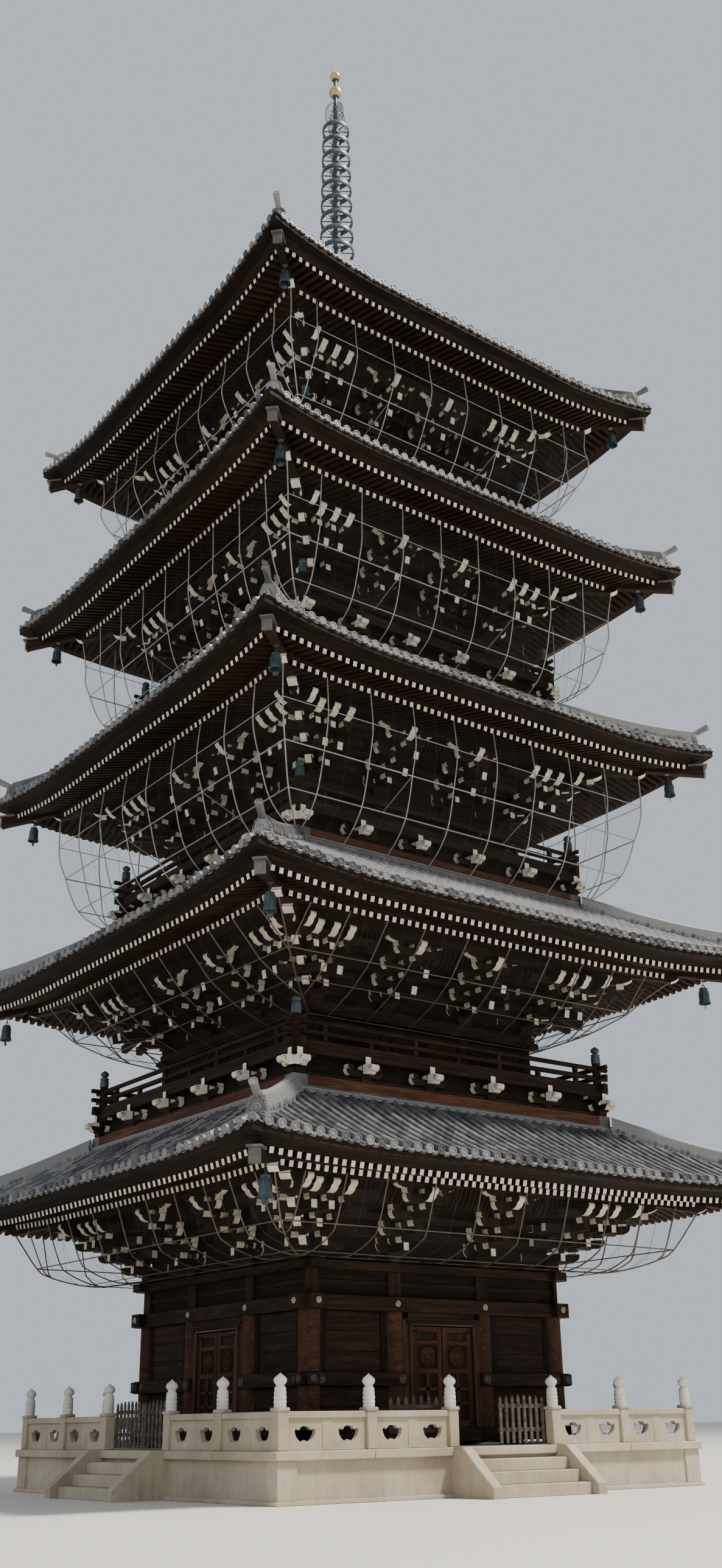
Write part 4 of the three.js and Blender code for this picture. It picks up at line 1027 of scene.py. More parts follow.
def balcony(s):
    """Base beam, brackets, floor and railing of storey s + 1 (s from 1)"""
    h = Heap()
    half, top, floor = BEAM_HALF[s - 1], BEAM_TOP[s - 1], FLOOR_TOP[s - 1]
    line, scale = half - 76, half / BEAM_HALF[0]
    box(h, -half, half, -half, -half + 110, top - 112, top, mat=RED, chamfer=4)
    for sx in (-1, 1):
        box(h, *sorted((sx * (half + 3), sx * (half - 165))), -half - 3, -half + 40, top - 110, top + 2, mat=PALE,
            chamfer=2)
    box(h, -half + 24, half - 24, -half + 130, -half + 170, top - 20, floor - 40, mat=DARK)
    box(h, -half + 40, half - 40, -half + 60, -half + 130, top, top + 46, chamfer=3)
    # floor boards and edge beams
    box(h, -half + 12, half - 12, -half + 12, -half + 96, floor - 56, floor - 6, chamfer=3)
    edge, inner = half - 20, WALL[s] + 40
    for i in range(5):
        a, b = edge - (edge - inner) * i / 5, edge - (edge - inner) * (i + 1) / 5 + 4
        box(h, -a, a, -a, -b, floor - 24, floor)
    places = [sign * x * scale for x in (430, 1290) for sign in (-1, 1)]
    for x in places + [-half + 64, half - 64]:
        prism(h, [(-44, 0), (44, 0), (60, 24), (60, 66), (-60, 66), (-60, 24)], 0, 110, origin=(x, -half + 30, top))
        arm(h, (x, -half + 86, top + 66), 470 if x in places else 300, 72, 60)
        if x in places:
            for dx in (-180, 0, 180):
                block(h, (x + dx, -half + 86, top + 138), 78, 46)
        box(h, x - 36, x + 36, -half - 12, -half + 300, floor - 92, floor - 12, "y", WOOD, 2, WHITE)
        cloud_nosing(h, (x, -half + 22, floor - 204))
    # railing
    reach = half + 88
    for low, high, wide, run in ((0, 96, 66, reach - 24), (155, 201, 50, reach - 6)):
        box(h, -run, run, -line - wide / 2, -line + wide / 2, floor + low, floor + high, chamfer=4)
    tube(h, [(-reach, -line, floor + 288), (reach, -line, floor + 288)], 27, 10, WOOD)
    for i in range(-3, 4):
        x = i * 596 * scale
        if abs(x) <= line - 200:
            box(h, x - 24, x + 24, -line - 22, -line + 22, floor + 90, floor + (270 if i % 2 else 160), "z")
    for mat, profile in ((WOOD, [(0, -10), (50, -10), (50, 360), (0, 360)]),
                         (BRONZE, [(0, 350), (54, 350), (54, 420), (49, 424), (49, 436), (54, 440), (54, 456),
                                   (34, 462), (30, 474), (48, 490), (52, 506), (44, 528), (20, 544), (0, 558)])):
        lathe(h, [(r, floor + z) for r, z in profile], 18, at=(-line, -line, 0), mat=mat)
    return h.quarters()


def upper_walls(s):
    h = Heap()
    w, top, floor = WALL[s], PLATE_TOP[s], FLOOR_TOP[s - 1]
    inner = w * INNER
    box(h, -w, w, -w - 20, -w + 40, floor - 330, top - 20, mat=DARK)
    for x in (-w, -inner, inner):
        lathe(h, [(0, floor - 30), (84, floor - 30), (84, top - 136), (0, top - 136)], 20, at=(x, -w, 0), mat=WOOD)
    z0, z1 = floor + 84, top - 262          # opening between the beams at the floor and the head
    ring(h, w + 109, w - 30, top - 138, top - 92, 3, 60)
    ring(h, w + 109, w - 55, top - 90, top, 4)
    ring(h, w + 52, w - 30, floor, z0, 3)
    ring(h, w + 56, w - 30, z1, top - 190, 3)
    # middle bay: pair of framed doors; side bays: barred windows over boards
    for sx in (-1, 1):
        box(h, *sorted((sx * 6, sx * (inner - 96))), -w - 34, -w - 12, z0, z1, "z")
        for x in (40, inner - 130):
            box(h, *sorted((sx * (x - 30), sx * (x + 30))), -w - 46, -w - 30, z0, z1, "z")
        for z in (z0 + 36, (z0 + z1) / 2, z1 - 36):
            box(h, *sorted((sx * 70, sx * (inner - 160))), -w - 44, -w - 30, z - 28, z + 28)
        a, b = inner + 96, w - 96
        for low, high in ((z0, z0 + 70), (z1 - 60, z1)):
            box(h, *sorted((sx * a, sx * b)), -w - 42, -w - 18, low, high, chamfer=2)
        for x in np.arange(a + 40, b - 20, 58):
            slab(h, (sx * x, -w - 30, (z0 + z1) / 2), (z1 - z0, 26, 26), [UP, unit((1, 1, 0)), unit((1, -1, 0))])
    return h.quarters()


# ---------------------------------------------------------------- bird nets
# corners of each storey's net at mid-side, as (distance from the axis, height), from the top down
HOOPS = (
    ((2637, 2388), (2520, 2290), (2362, 2222), (2210, 2180), (2055, 2164), (1756, 2196)),
    ((2590, 5274), (2440, 5110), (2272, 4992), (2140, 4905), (2001, 4837), (1660, 4700)),
    ((2716, 7770), (2690, 7540), (2630, 7318), (2570, 7080), (2485, 6852), (2330, 6660), (2136, 6520)),
    ((2576, 10486), (2570, 10240), (2514, 10013), (2448, 9760), (2355, 9544), (2220, 9400), (2040, 9300)),
    ((2500, 13300), (2520, 13150), (2525, 13000), (2470, 12820), (2384, 12653), (2200, 12320), (1940, 12060)),
)
HOOP_X = ((310, 904, 1507, 2008, 2500), (302, 905, 1410, 1905, 2413), (306, 910, 1517, 2120), (302, 902, 1521, 2122),
          (306, 911, 1512, 2112))
# rails along each storey's hoops: number of the corner point, and radius
RAILS = (((1, 7), (4, 5)), ((2, 7), (4, 5)), ((1, 5), (3, 8), (5, 7)), ((1, 5), (3, 8), (5, 7)),
         ((2, 5), (5, 8), (6, 7)))
ROD = 7.5


def net_profile(s, share):
    """Corner points (distance, height) of the net where its top is this share of the way to a corner"""
    start = EAVE[s] - BASE - 40
    low = underside(s, start) + 30
    return [(start - BOW * (1 - share), low + (CORNER_Z[s] - 303 - low) * share)] + list(HOOPS[s])


def rounded(points):
    """A smooth line through all the points, in three steps each"""
    p = np.asarray(points, float)
    p = np.vstack([2 * p[0] - p[1], p, 2 * p[-1] - p[-2]])
    t = np.linspace(0, 1, 3, endpoint=False)[:, None]
    parts = [0.5 * (2 * p1 + (p2 - p0) * t + (2 * p0 - 5 * p1 + 4 * p2 - p3) * t ** 2
                    + (3 * p1 - p0 - 3 * p2 + p3) * t ** 3) for p0, p1, p2, p3 in zip(p, p[1:], p[2:], p[3:])]
    return np.vstack(parts + [p[-2:-1]])


def net_line(s, x):
    """A hoop square to the wall, which ends where it meets the corner hoop"""
    line = rounded(net_profile(s, min(1, abs(x) / EAVE[s] / 0.8) ** 3))
    inside = int(np.argmax(line[:, 0] < abs(x))) if (line[:, 0] < abs(x)).any() else len(line)
    if inside < 2:
        return None
    if inside < len(line):
        (d0, z0), (d1, z1) = line[inside - 1], line[inside]
        k = (d0 - abs(x)) / (d0 - d1)
        line = np.vstack([line[:inside], [(abs(x), z0 + (z1 - z0) * k)]])
    return [(x, -d, z) for d, z in line]


def net_frame(s):
    h = Heap()
    rod = ZINC if s > 1 else STEEL
    profile = net_profile(s, 1.0)
    tube(h, [(-d, -d, z) for d, z in rounded(profile)], ROD + 1, 6, rod)
    for x in HOOP_X[s]:
        for sign in (-1, 1):
            tube(h, net_line(s, sign * x), ROD, 6, rod)
    middles = [0] + [sign * (a + b) / 2 for a, b in zip(HOOP_X[s], HOOP_X[s][1:]) for sign in (-1, 1)]
    for x in middles:
        line = net_line(s, x)
        if line is not None:
            tube(h, np.array(line) + (0, 2, 0), 1.8, 4, IRON)
    for j, r in RAILS[s] + ((len(profile) - 1, 5),):
        d, z = profile[j]
        tube(h, [(-d, -d, z), (0, -d, z), (d, -d, z)], r, 6, rod)
    if s > 1:
        d, z = profile[RAILS[s][1][0]]
        for sign in (-1, 1):
            x = sign * HOOP_X[s][1]
            tube(h, [(x, -d, z), (x, -(BEAM_HALF[s - 1] - 52), FLOOR_TOP[s - 1] + 178)], 6, 6, rod)
    return h.quarters()


def net_grid(s):
    """Lines of points down the net on one side, from corner to corner"""
    middle, corner = rounded(net_profile(s, 0.0)), rounded(net_profile(s, 1.0))
    grid = []
    for v in np.linspace(-1, 1, 21):
        c = abs(v) ** 3
        grid.append([(v * (d + (dc - d) * c), -(d + (dc - d) * c) + 6, z + (zc - z) * c)
                     for (d, z), (dc, zc) in zip(middle, corner)])
    return np.array(grid)


# ---------------------------------------------------------------- ground storey
def round_cap(h, at, out, r):
    """Round metal cover with a ring and a boss"""
    profile = [(0, -2), (r, -2), (r, 4), (0.86 * r, 9), (0.7 * r, 6), (0.5 * r, 7), (0.42 * r, 14), (0.2 * r, 19),
               (0, 20)]
    lathe(h, profile, 20, at=at, axis=out, mat=IRON)


def rosette(h, at):
    """Six-leaved nail cover"""
    r = 38 * 0.84
    profile = [(0, -2), (r, -2), (r, 5), (0.8 * r, 11), (0.5 * r, 9), (0.46 * r, 16), (0.3 * r, 26), (0, 30)]
    lathe(h, profile, 30, at=at, axis=FRONT, mat=ZINC, wave=scalloped((1, 2, 3), 6, 0.08))


def corner_walls():
    """Posts, boards, sill and waist beam on both sides of the front left corner"""
    w = WALL[0]
    inner = w * INNER
    half = Heap()
    box(half, -w, -inner, -w - 18, -w + 20, 470, 1700, mat=DARK)
    for low, high, count, a, b in ((1126, 1694, 3, -w + 150, -inner - 190), (604, 986, 2, -w + 110, -inner - 100)):
        boards = np.linspace(low, high, count + 1)
        for z0, z1 in zip(boards, boards[1:]):
            box(half, a, b, -w - 44, -w - 14, z0 + 1.5, z1 - 1.5, chamfer=2)
    for x in (-w + 130, -inner - 145):
        box(half, x - 40, x + 40, -w - 52, -w - 16, 1122, 1697, "z", DARK, 2)
    box(half, -w - 115, -486, -w - 115, -w + 60, 470, 598, chamfer=5)
    box(half, -w - 128, -498, -w - 128, -w + 20, 992, 1122, chamfer=6)
    box(half, -w - 168, -w - 100, -w - 120, -w + 20, 1000, 1114, chamfer=6)
    for x in (-w + 52, -inner + 30):
        round_cap(half, (x, -w - 128, 1056), FRONT, 46)
    round_cap(half, (-w - 168, -w - 60, 1056), (-1, 0, 0), 40)
    # door case
    box(half, -516, -444, -w - 84, -w + 60, 598, 1700, "z", POST, 4)
    box(half, -446, -405, -w - 98, -w + 60, 600, 1571, "z", POST, 4)
    box(half, -430, -420, -w - 106, -w - 90, 604, 1571, "z", GREY, 2)
    h = half.mirrored(SWAP)
    post = [(0, STANDING), (122, STANDING), (128, 446), (122, 470), (112, 474), (112, 1697.5), (0, 1697.5)]
    stone = [(0, STANDING), (150, STANDING), (158, 440), (150, 452), (0, 452)]
    for x, y in ((-w, -w), (-inner, -w), (-w, -inner)):
        lathe(h, post, 32, at=(x, y, 0), mat=POST)
        lathe(h, stone, 28, at=(x, y, 0), mat=STONE)
    return h


def head_ring():
    h = Heap()
    w = WALL[0]
    inner = w * INNER
    frieze, plate = 1842, 2087              # feet of the frieze and of the top plate over it
    ring(h, w + 109, w - 65, 1698.3, frieze, 5, 91)
    ring(h, w + 109, w - 65, plate, PLATE_TOP[0], 5, 91)
    box(h, -w, w, -w - 30, -w + 40, frieze, plate, mat=DARK)
    for x in (-w, -inner, inner):
        box(h, x - 80, x + 80, -w - 62, -w - 20, frieze, plate, "z", chamfer=3)
    box(h, -w, w, -w - 46, -w - 20, 1950, 1990, chamfer=2)
    for x, y in ((-inner + 6, -w - 109), (inner - 6, -w - 109), (-w - 22, -w - 200), (w + 22, -w - 200)):
        rosette(h, (x, y, 1776))
    # lintel with pale mouldings
    box(h, -516, 516, -w - 84, -w + 60, 1626, 1698, chamfer=3)
    box(h, -470, 470, -w - 98, -w + 60, 1571.3, 1630, chamfer=3)
    box(h, -424, 424, -w - 106, -w - 90, 1576, 1588, mat=GREY, chamfer=2)
    box(h, -500, 500, -w - 100, -w - 80, 1626, 1644, chamfer=3)
    return h.quarters()


def ground_floor():
    h = Heap()
    inside = WALL[0] - 113
    for i in range(12):
        a = -inside + 2 * inside * i / 12
        box(h, a + 1, a + 2 * inside / 12 - 1, -inside, inside, 556, 590, "y", WOOD, 2)
    for x in (-1200, 0, 1200):
        box(h, x - 60, x + 60, -inside + 20, inside - 20, STANDING, 556, "y", DARK)
    sill = Heap()
    box(sill, -482, 482, -WALL[0] - 115, -inside + 1, 470, 599.7, chamfer=5)
    h.stamp(sill.quarters())
    return h


def door_leaf():
    """Front left leaf, closed: framed panels, a medallion, and a lattice below"""
    h = Heap()
    x0, x1, z0, z1 = -396, -6, 606, 1565
    face, back, stile = -1704, -1660, 62
    for a, b in ((x0, x0 + stile), (x1 - stile, x1)):
        box(h, a, b, face, back, z0, z1, "z", POST, 3)
    for low, high in ((z0, z0 + 60), (1105, 1160), (1388, 1432), (z1 - 52, z1)):
        box(h, x0 + stile, x1 - stile, face, back, low, high, "x", POST, 3)
    box(h, x0 + stile - 4, x1 - stile + 4, face + 22, back - 4, z0 + 10, z1 - 10, "z")
    middle = (x0 + x1) / 2
    box(h, middle - 20, middle + 20, face + 3, back - 6, z0 + 60, 1105, "z", POST, 2)
    for z in (826, 966):
        box(h, x0 + stile, x1 - stile, face + 3, back - 6, z - 17, z + 17, "x", POST, 2)
    box(h, x0 + stile, x1 - stile, face - 6, face + 6, 1120, 1144, "x", POST, 2)
    # wheel flower
    at = np.array((middle + 7, face + 22, 1275))
    wheel = [(0, 0), (94, 0), (94, 20), (84, 27), (74, 20), (70, 10), (64, 12), (34, 20), (26, 12), (22, 24), (0, 30)]
    lathe(h, wheel, 48, at=at, axis=FRONT, mat=POST, wave=scalloped((1, 2, 3), 12, 0.05))
    for k in range(12):
        t = k * math.pi / 6
        petal = at + np.array((math.cos(t), 0, math.sin(t))) * 50 + (0, -14, 0)
        lathe(h, [(0, 0), (9, 3), (10, 8), (0, 13)], 8, at=petal, axis=FRONT, mat=POST)
    # pivot pins, straps and knob
    lathe(h, [(8, z0 - 5), (8, z1 + 5)], 8, at=(-387, -1695, 0), mat=IRON)
    for z in (z0 + 20, z1 - 60):
        box(h, x0 - 1, x0 + 64, face - 4, face + 1, z, z + 24, "x", DARK, 1)
    lathe(h, [(0, 0), (16, 0), (16, 4), (8, 8), (0, 9)], 12, at=(x1 - 28, face, 1060), axis=FRONT, mat=IRON)
    return h


GATE_RAILS, PINTLES = (574, 788), (560, 774)


def gate_leaf():
    """Picket leaf left of a gate's middle, closed"""
    h = Heap()
    y = -GATE_LINE
    for z in GATE_RAILS:
        box(h, -600, -6, y + 1, y + 13, z - 19, z + 19, "x", GREY, 2)
    for i in range(8):
        x = -581 + i * (594 - 38) / 7
        top = 876 + 18 * math.sin(math.pi * i / 7)
        prism(h, [(x - 17, 452), (x + 17, 452), (x + 17, top - 34), (x, top), (x - 17, top - 34)], y - 13, y + 1,
              mat=GREY)
        for z in GATE_RAILS:
            lathe(h, [(0, 0), (5, 0), (4, 3), (0, 4)], 6, at=(x, y - 13, z), axis=FRONT, mat=IRON)
    for z in PINTLES:
        box(h, -HINGE - 8, -560, y + 12, -PIN + 8, z + 0.3, z + 28, "x", IRON, 1)
    return h


# ---------------------------------------------------------------- stone
# right half of a cut-out's outline, as shares of its half width and height
LOBES = ((0, 0.12), (0.10, 0.04), (0.30, 0.0), (0.55, 0.07), (0.78, 0.24), (0.93, 0.46), (1.0, 0.66), (0.97, 0.79),
         (0.86, 0.86), (0.72, 0.86), (0.58, 0.80), (0.51, 0.74), (0.48, 0.86), (0.38, 0.96), (0.20, 1.0), (0, 1.0))


def pierced_panel(h, x0, x1, z0, z1, y0, y1, centre):
    """A slab with one three-lobed cut-out. Rays from the cut-out's middle pair its points with the slab's edge."""
    half, low, high = 112, 503, 632
    hole = np.array([(centre + half * a, low + (high - low) * b) for a, b in LOBES]
                    + [(centre - half * a, low + (high - low) * b) for a, b in LOBES[-2:0:-1]])
    middle = np.array((centre, (low + high) / 2 + 6))
    angle = np.unwrap(np.arctan2(*(hole - middle).T[::-1]))
    corners = np.array([(x1, z0), (x1, z1), (x0, z1), (x0, z0)])
    rays = [(a, i) for i, a in enumerate(angle)]
    for a in np.arctan2(*(corners - middle).T[::-1]):
        while a < angle[0]:
            a += 2 * math.pi
        rays.append((a, None))

    def to_edge(along, low_edge, high_edge, start):
        return abs(((high_edge if along > 0 else low_edge) - start) / along) if abs(along) > 1e-9 else 1e9

    outer, inner = [], []
    for a, i in sorted(rays, key=lambda ray: ray[0]):
        direction = np.array((math.cos(a), math.sin(a)))
        reach = min(to_edge(direction[0], x0, x1, middle[0]), to_edge(direction[1], z0, z1, middle[1]))
        outer.append(middle + direction * reach)
        if i is not None:
            inner.append(hole[i])
        else:
            ahead = np.searchsorted(angle, a)
            p, q = hole[ahead - 1], hole[ahead % len(hole)]
            a0, a1 = angle[ahead - 1], angle[ahead] if ahead < len(angle) else angle[0] + 2 * math.pi
            inner.append(p + (q - p) * (a - a0) / (a1 - a0))
    outer, inner = np.array(outer), np.array(inner)
    n = len(outer)
    layers = [(outer, y0), (inner, y0), (inner, y1), (outer, y1)]
    co = np.concatenate([np.column_stack([p[:, 0], np.full(n, y), p[:, 1]]) for p, y in layers])
    i = np.arange(n)
    k = (i + 1) % n
    pairs = ((0, 1), (1, 2), (2, 3), (3, 0))
    faces = [np.column_stack([a * n + i, a * n + k, b * n + k, b * n + i]) for a, b in pairs]
    h.add(co, [(np.concatenate(faces), STONE)])


def stone_post(h, x, y):
    box(h, x - 58, x + 58, y - 58, y + 58, STANDING, 756, "z", STONE, 8)
    box(h, x - 68, x + 68, y - 68, y + 68, 752, 786, "z", STONE, 10)
    profile = [(0, 780), (52, 780), (56, 790), (56, 806), (52, 810), (52, 816), (57, 820), (57, 842), (52, 847),
               (52, 852), (57, 857), (57, 880), (51, 885), (51, 890), (55, 895), (55, 916), (50, 921), (50, 926),
               (53, 931), (50, 950), (38, 962), (36, 970), (48, 982), (58, 998), (60, 1012), (55, 1028), (42, 1042),
               (26, 1053), (12, 1064), (0, 1076)]
    lathe(h, profile, 28, at=(x, y, 0), mat=JEWEL)


def balustrade():
    half = Heap()
    corner, middle, gate = POSTS
    y = -RAIL_LINE
    for a, b in ((corner, middle), (middle, gate)):
        centre = -(a + b) / 2
        for sign in (-1, 1):
            x0, x1 = sorted((centre + sign * 52, centre + sign * ((a - b) / 2 - 56)))
            pierced_panel(half, x0, x1, 440, RAIL_BOTTOM + 1, y - 25, y + 25, centre + sign * 238)
        box(half, centre - 54, centre + 54, y - 31, y + 31, 433, RAIL_BOTTOM + 1, "z", STONE, 4)
        box(half, -a + 50, -b - 50, y - 30, y + 30, 433, 446, "x", STONE, 3)
        box(half, -a + 50, -b - 50, y - 46, y + 46, RAIL_BOTTOM, RAIL_TOP, "x", STONE, 10)
    h = half.mirrored(SWAP)
    for x, y2 in ((-corner, y), (-middle, y), (-gate, y), (y, -middle), (y, -gate)):
        stone_post(h, x, y2)
    for z in PINTLES:
        for basis in (None, SWAP):
            pin = Heap()
            box(pin, -HINGE - 8, -HINGE + 8, -RAIL_LINE + 50, -PIN + 8, z - 20, z, "y", IRON, 1)
            h.stamp(pin, basis, flip=basis is not None)
    return h


def platform():
    h = Heap()
    box(h, -2640, 2640, -2640, 2640, 0, 425, mat=STONE)
    side = Heap()
    box(side, -2705, 2705, -2705, -2600, 0, 36, "x", STONE, 6)
    for x0, x1, face in ((-2470, -742, -2660), (742, 2470, -2660), (-742, 742, -2659)):
        box(side, x0, x1, face, -2600, 36, 356, "x", STONE)
    box(side, -2680, -2470, -2680, -2470, 34, 356, "z", STONE, 6)
    # coping slabs with open joints, then the paving behind them
    ends = [-PLATFORM_HALF, -1640, -640, 640, 1640, PLATFORM_HALF]
    for x0, x1 in zip(ends, ends[1:]):
        box(side, x0 + (1.5 if x0 > ends[0] else 0), x1 - (1.5 if x1 < ends[-1] else 0), ends[0], -2210, 355, PLATFORM_TOP,
            "x", STONE, 7)
    for x in (-1700, -1000, -340, 340, 1000, 1700):
        box(side, x - 340, x + 340, -2212, -1700, 400, 431, "x", STONE, 2)
    h.stamp(side.quarters())
    return h


def stair():
    h = Heap()
    for i in range(3):
        box(h, -STAIR_HALF, STAIR_HALF, -PLATFORM_HALF - (3 - i) * TREAD, -2660.3, i * RISER, (i + 1) * RISER, "x",
            STONE, 6)
    # the stringers follow the platform's coping, body and plinth
    bevel = 6
    back = [(-2710.3, 354), (-2660.3, 354), (-2660.3, 37), (-2705.3, 37), (-2705.3, 0)]
    side = [(-STAIR_FOOT, 0), (-STAIR_FOOT, 95), (-2840, PLATFORM_TOP), (-2710.3, PLATFORM_TOP)] + back
    small = [(bevel - STAIR_FOOT, 0), (bevel - STAIR_FOOT, 93), (-2842, PLATFORM_TOP - bevel),
             (-2710.3, PLATFORM_TOP - bevel)] + back
    for sign in (-1, 1):
        x0, x1 = sorted((sign * STAIR_HALF, sign * STRINGER_HALF))
        prism(h, side, x0 + bevel, x1 - bevel, a=(0, 1, 0), c=(1, 0, 0), mat=STONE)
        prism(h, small, x0, x1, a=(0, 1, 0), c=(1, 0, 0), mat=STONE)
    return h


# ---------------------------------------------------------------- spire
def around(count, start):
    """Directions about the axis, from an angle in radians on"""
    for k in range(count):
        t = k * 2 * math.pi / count + start
        yield np.array((math.cos(t), math.sin(t), 0))


def spire_base():
    h = Heap()
    box(h, -330, 330, -330, 330, 15840.3, 16290, "z", MAST, 6)
    for z0, z1, r in ((15842, 15900, 352), (16180, 16212, 345), (16212, 16275, 375)):
        box(h, -r, r, -r, r, z0, z1, "x", MAST, 5)
    front = Heap()
    for x in (-160, 160):
        box(front, x - 130, x + 130, -336, -325, 15925, 16160, "x", MAST, 4)
        lathe(front, [(0, 0), (52, 0), (50, 8), (30, 12), (0, 16)], 16, at=(x, -336, 16042), axis=FRONT)
    h.stamp(front.quarters())
    bowl = [(0, 16280), (300, 16280), (300, 16300), (292, 16320), (286, 16400), (262, 16480), (212, 16545),
            (150, 16585), (150, 16630), (168, 16645), (150, 16660), (160, 16680), (0, 16680)]
    lathe(h, bowl, 40)
    flower = [(150, 16665), (232, 16742), (270, 16830), (256, 16832), (200, 16770), (0, 16760)]
    lathe(h, flower, 64, wave=lambda a, row: 1 + (0.09 * np.abs(np.cos(4 * a)) - 0.09 if row in (1, 2, 3) else 0))
    lathe(h, [(120, 16740), (140, 16800), (96, 16832), (0, 16832)], 24)
    return h


def spire_rings():
    h = Heap()
    lathe(h, [(0, 16831), (62, 16831), (60, 17200), (52, 18500), (44, FLAME_BOTTOM), (0, FLAME_BOTTOM)], 20)
    for i in range(RINGS):
        z = RING_FIRST + i * RING_PITCH
        r = RING_RADIUS[0] + (RING_RADIUS[1] - RING_RADIUS[0]) * i / (RINGS - 1)
        hub = 74 - 1.5 * i
        lathe(h, [(r - 14, z - 46), (r - 3, z - 48), (r, z - 44), (r, z + 44), (r - 3, z + 48), (r - 14, z + 46),
                  (r - 14, z - 46)], 44)
        lathe(h, [(r + 2, z - 22), (r + 4, z - 19), (r + 2, z - 16), (r - 2, z - 16)], 44)
        lathe(h, [(hub - 16, z - 60), (hub, z - 48), (hub, z + 30), (hub + 8, z + 36), (hub + 8, z + 46),
                  (hub - 20, z + 64)], 20)
        for d in around(8, 0.2):
            beam(h, d * (hub - 6) + (0, 0, z), d * (r - 8) + (0, 0, z), 8, 18, MAST)
        for d in around(4, 0.6):
            rim = d * (r - 5)
            lathe(h, [(0, 31), (15, 30), (12, 22), (9, 2), (0, 0)], 8, at=rim + (0, 0, z - 66))
            tube(h, [rim + (0, 0, z - 38), rim + (0, 0, z - 30)], 3, 4, MAST)
    return h


def flame_blade():
    """One openwork blade of the flame, in the plane of x and z"""
    h = Heap()
    low, high = FLAME_BOTTOM + 12, FLAME_TOP - 8

    def edge(t):
        """Half width of a blade at the height share t"""
        return 30 + (FLAME_HALF - 34) * (math.sin(math.pi * min(1, 0.18 + 0.9 * t)) ** 0.5 if t < 0.93 else 0.32)

    def line(radius, *points):
        tube(h, [(x, 0, z) for x, z in points], radius, 4, MAST)

    line(4.5, *[(edge(t) - 12, low + (high - low) * t) for t in np.linspace(0.0, 0.97, 26)])
    line(5, (44, low), (42, high - 40))
    seeds = np.random.default_rng(5)
    for row, z in enumerate(np.arange(low + 34, high - 30, 52)):
        tip = edge((z - low) / (high - low))
        for x in np.arange(66 + 18 * (row % 2), tip - 26, 52):
            start = seeds.uniform(0, 6)
            line(4.2, *[(x + (23 - 2.6 * a) * math.cos(a + start), z + (23 - 2.6 * a) * math.sin(a + start))
                        for a in np.linspace(0, 5.6, 14)])
        line(4, (tip - 14, z - 10), (tip - 2, z + 8), (tip - 1, z + 30))
        line(4, (tip - 30, z + 6), (tip - 16, z + 26), (tip - 20, z + 44))
    return h


def spire_top():
    h = Heap()
    lathe(h, [(0, FLAME_BOTTOM + 0.3), (40, FLAME_BOTTOM + 0.3), (36, 20400), (32, LOW_JEWEL - 96),
              (30, HIGH_JEWEL - 80)], 20)
    for z, r in ((LOW_JEWEL, 108), (HIGH_JEWEL, 90)):
        arc = [(max(30 if t < 0 else 0, r * math.cos(t)), z + r * math.sin(t)) for t in np.linspace(-1.25, 1.35, 16)]
        foot, top = arc[0][1], arc[-1][1]
        lathe(h, [(30, foot - 10)] + arc + [(34, top + 4), (30, top + 14), (0, top + 15)], 28, mat=GOLD)
        lathe(h, [(34, z - r - 10), (52, z - r + 4), (58, z - r * 0.83)], 16)
    lathe(h, [(26, HIGH_JEWEL + 84), (20, HIGH_JEWEL + 110), (9, HIGH_JEWEL + 150), (3, TIP - 6), (0, TIP)], 14,
          mat=GOLD)
    blade = flame_blade()
    for k in range(4):
        h.stamp(blade, turn_z(90 * k))
    return h


# ---------------------------------------------------------------- assembly
SIDES = ("front", "right", "back", "left")
CORNERS = ("front_left", "front_right", "back_right", "back_left")
LEAVES = (("front_left", 0, False), ("front_right", 0, True), ("left_back", 3, False), ("left_front", 3, True))


def placed(template, turns, mirror=False, swing=0):
    """A leaf, opened about the gate's hinge by an angle, then mirrored and turned to its side"""
    whole, out = Heap(), Heap()
    pivot = np.array((-HINGE, -PIN, 0.0))
    basis = turn_z(swing)
    whole.stamp(template, basis, pivot - basis @ pivot)
    out.stamp(whole, turn_z(90 * turns) @ (MIRROR if mirror else np.eye(3)), flip=mirror)
    return out


make(platform(), "platform_stone", "platform")
for turn, side in enumerate(SIDES):
    make(stair().turned(turn), "steps_" + side, "stair_" + side)
for turn, name in enumerate(CORNERS):
    make(balustrade().turned(turn), "parapet_" + name, "balustrade_" + name)
    make(corner_walls().turned(turn), "corner_posts_" + name, "walls_1_" + name)
make(head_ring(), "tie_beams", "walls_1_head")
make(ground_floor(), "floor_boards", "floor_1")
for looks, kind, build in (("pickets", "gate", gate_leaf), ("panels", "door", door_leaf)):
    leaf = build()
    for name, turns, mirror in LEAVES:
        node = f"{kind}_{name}"
        swing = OPEN_LEAF if node == "gate_front_left" else 0
        make(placed(leaf, turns, mirror, swing), f"{looks}_{name}", node, body=node)
    for name, turns in (("right", 1), ("back", 2)):
        make(placed(leaf.mirrored(), turns), f"{looks}_{name}", f"{kind}_{name}")
for s in range(5):
    n = s + 1
    if s:
        make(upper_walls(s), f"storey_walls_{n}", f"walls_{n}")
        make(balcony(s), f"gallery_{n}", f"balcony_{n}")
    make(tiled_roof(s), f"tiles_{n}", f"roof_{n}")
    make(rafters(s), f"rafters_{n}", f"eaves_{n}")
    make(bracket_zone(s), f"brackets_{n}", f"eaves_{n}", stands_for=False)
    make(net_frame(s), f"hoops_{n}", f"net_frame_{n}")
    for turn, side in enumerate(SIDES):
        cloth = Heap()
        sheet_grid(cloth, net_grid(s), NET)
        make(cloth.turned(turn), f"net_{n}_{side}", f"net_frame_{n}", stands_for=False)
make(spire_base(), "bowl_and_flower", "spire_base")
make(spire_rings(), "nine_rings", "spire_rings")
make(spire_top(), "flame_and_jewels", "spire_top")


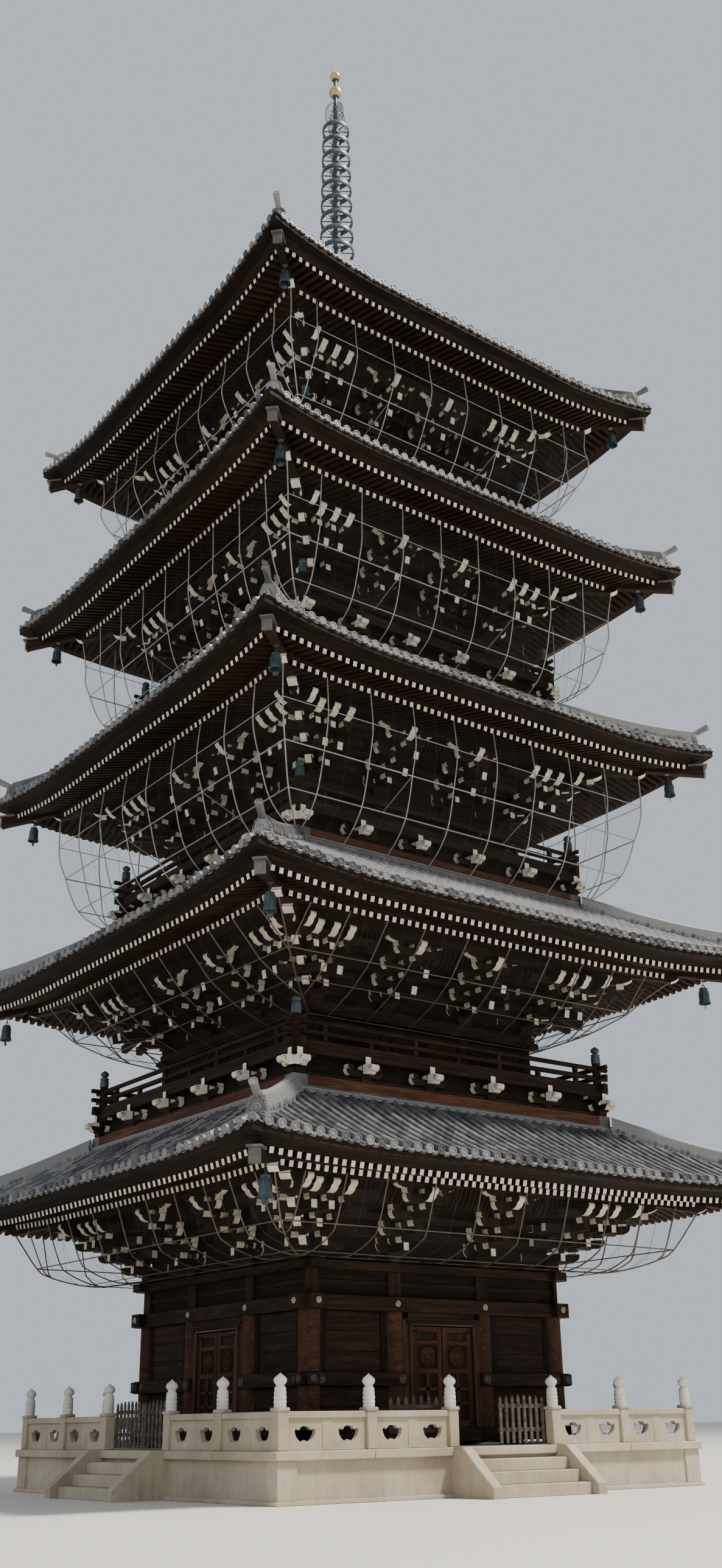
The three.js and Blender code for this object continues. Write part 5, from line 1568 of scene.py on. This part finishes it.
# ---------------------------------------------------------------- floor, light and camera
floor = bpy.data.meshes.new("studio_floor")
size = 400.0
floor.from_pydata([(-size, -size, 0), (size, -size, 0), (size, size, 0), (-size, size, 0)], [], [(0, 1, 2, 3)])
ground = bpy.data.objects.new("studio_floor", floor)
bpy.context.scene.collection.objects.link(ground)
g = Graph("studio_paper", 0.9)
g.colour((0.63, 0.595, 0.53, 1))
floor.materials.append(g.mat)

world = bpy.data.worlds.new("studio")
bpy.context.scene.world = world
world.use_nodes = True
backdrop = world.node_tree.nodes["Background"]
backdrop.inputs["Color"].default_value = (0.80, 0.86, 0.95, 1)
backdrop.inputs["Strength"].default_value = 0.72


def area_light(name, at, size, power, colour):
    """A square light that looks at the tower"""
    data = bpy.data.lights.new(name, "AREA")
    data.shape, data.size, data.energy, data.color = "SQUARE", size, power, colour
    obj = bpy.data.objects.new(name, data)
    bpy.context.scene.collection.objects.link(obj)
    obj.location = at
    obj.rotation_euler = (Vector((0, 0, 8)) - Vector(at)).to_track_quat("-Z", "Y").to_euler()


area_light("key", (22, -28, 62), 9, 98000, (1.0, 0.96, 0.90))
area_light("fill", (-40, -24, 20), 24, 2600, (0.90, 0.95, 1.0))

# camera: the tower's straight edges in the photograph give its place, turn and lens
YAW, TILT, ROLL = -0.6377, 0.4117, -0.0148
CAMERA_AT = (-10.3712, -14.4240, 0.6333)
FOCAL_PIXELS, IMAGE_HEIGHT, SENSOR = 2412.07, 2576, 36.0
forward = np.array((-math.sin(YAW) * math.cos(TILT), math.cos(YAW) * math.cos(TILT), math.sin(TILT)))
right = np.array((math.cos(YAW), math.sin(YAW), 0))
above = np.cross(right, forward)
c, s_ = math.cos(ROLL), math.sin(ROLL)
right2, above2 = c * right + s_ * above, -s_ * right + c * above
camera_data = bpy.data.cameras.new("camera")
camera_data.sensor_fit = "VERTICAL"
camera_data.sensor_height = SENSOR
camera_data.lens = FOCAL_PIXELS / IMAGE_HEIGHT * SENSOR
camera_data.clip_end = 1000
camera = bpy.data.objects.new("camera", camera_data)
camera.matrix_world = Matrix([(right2[i], above2[i], -forward[i], CAMERA_AT[i]) for i in range(3)] + [(0, 0, 0, 1)])
bpy.context.scene.collection.objects.link(camera)
bpy.context.scene.camera = camera
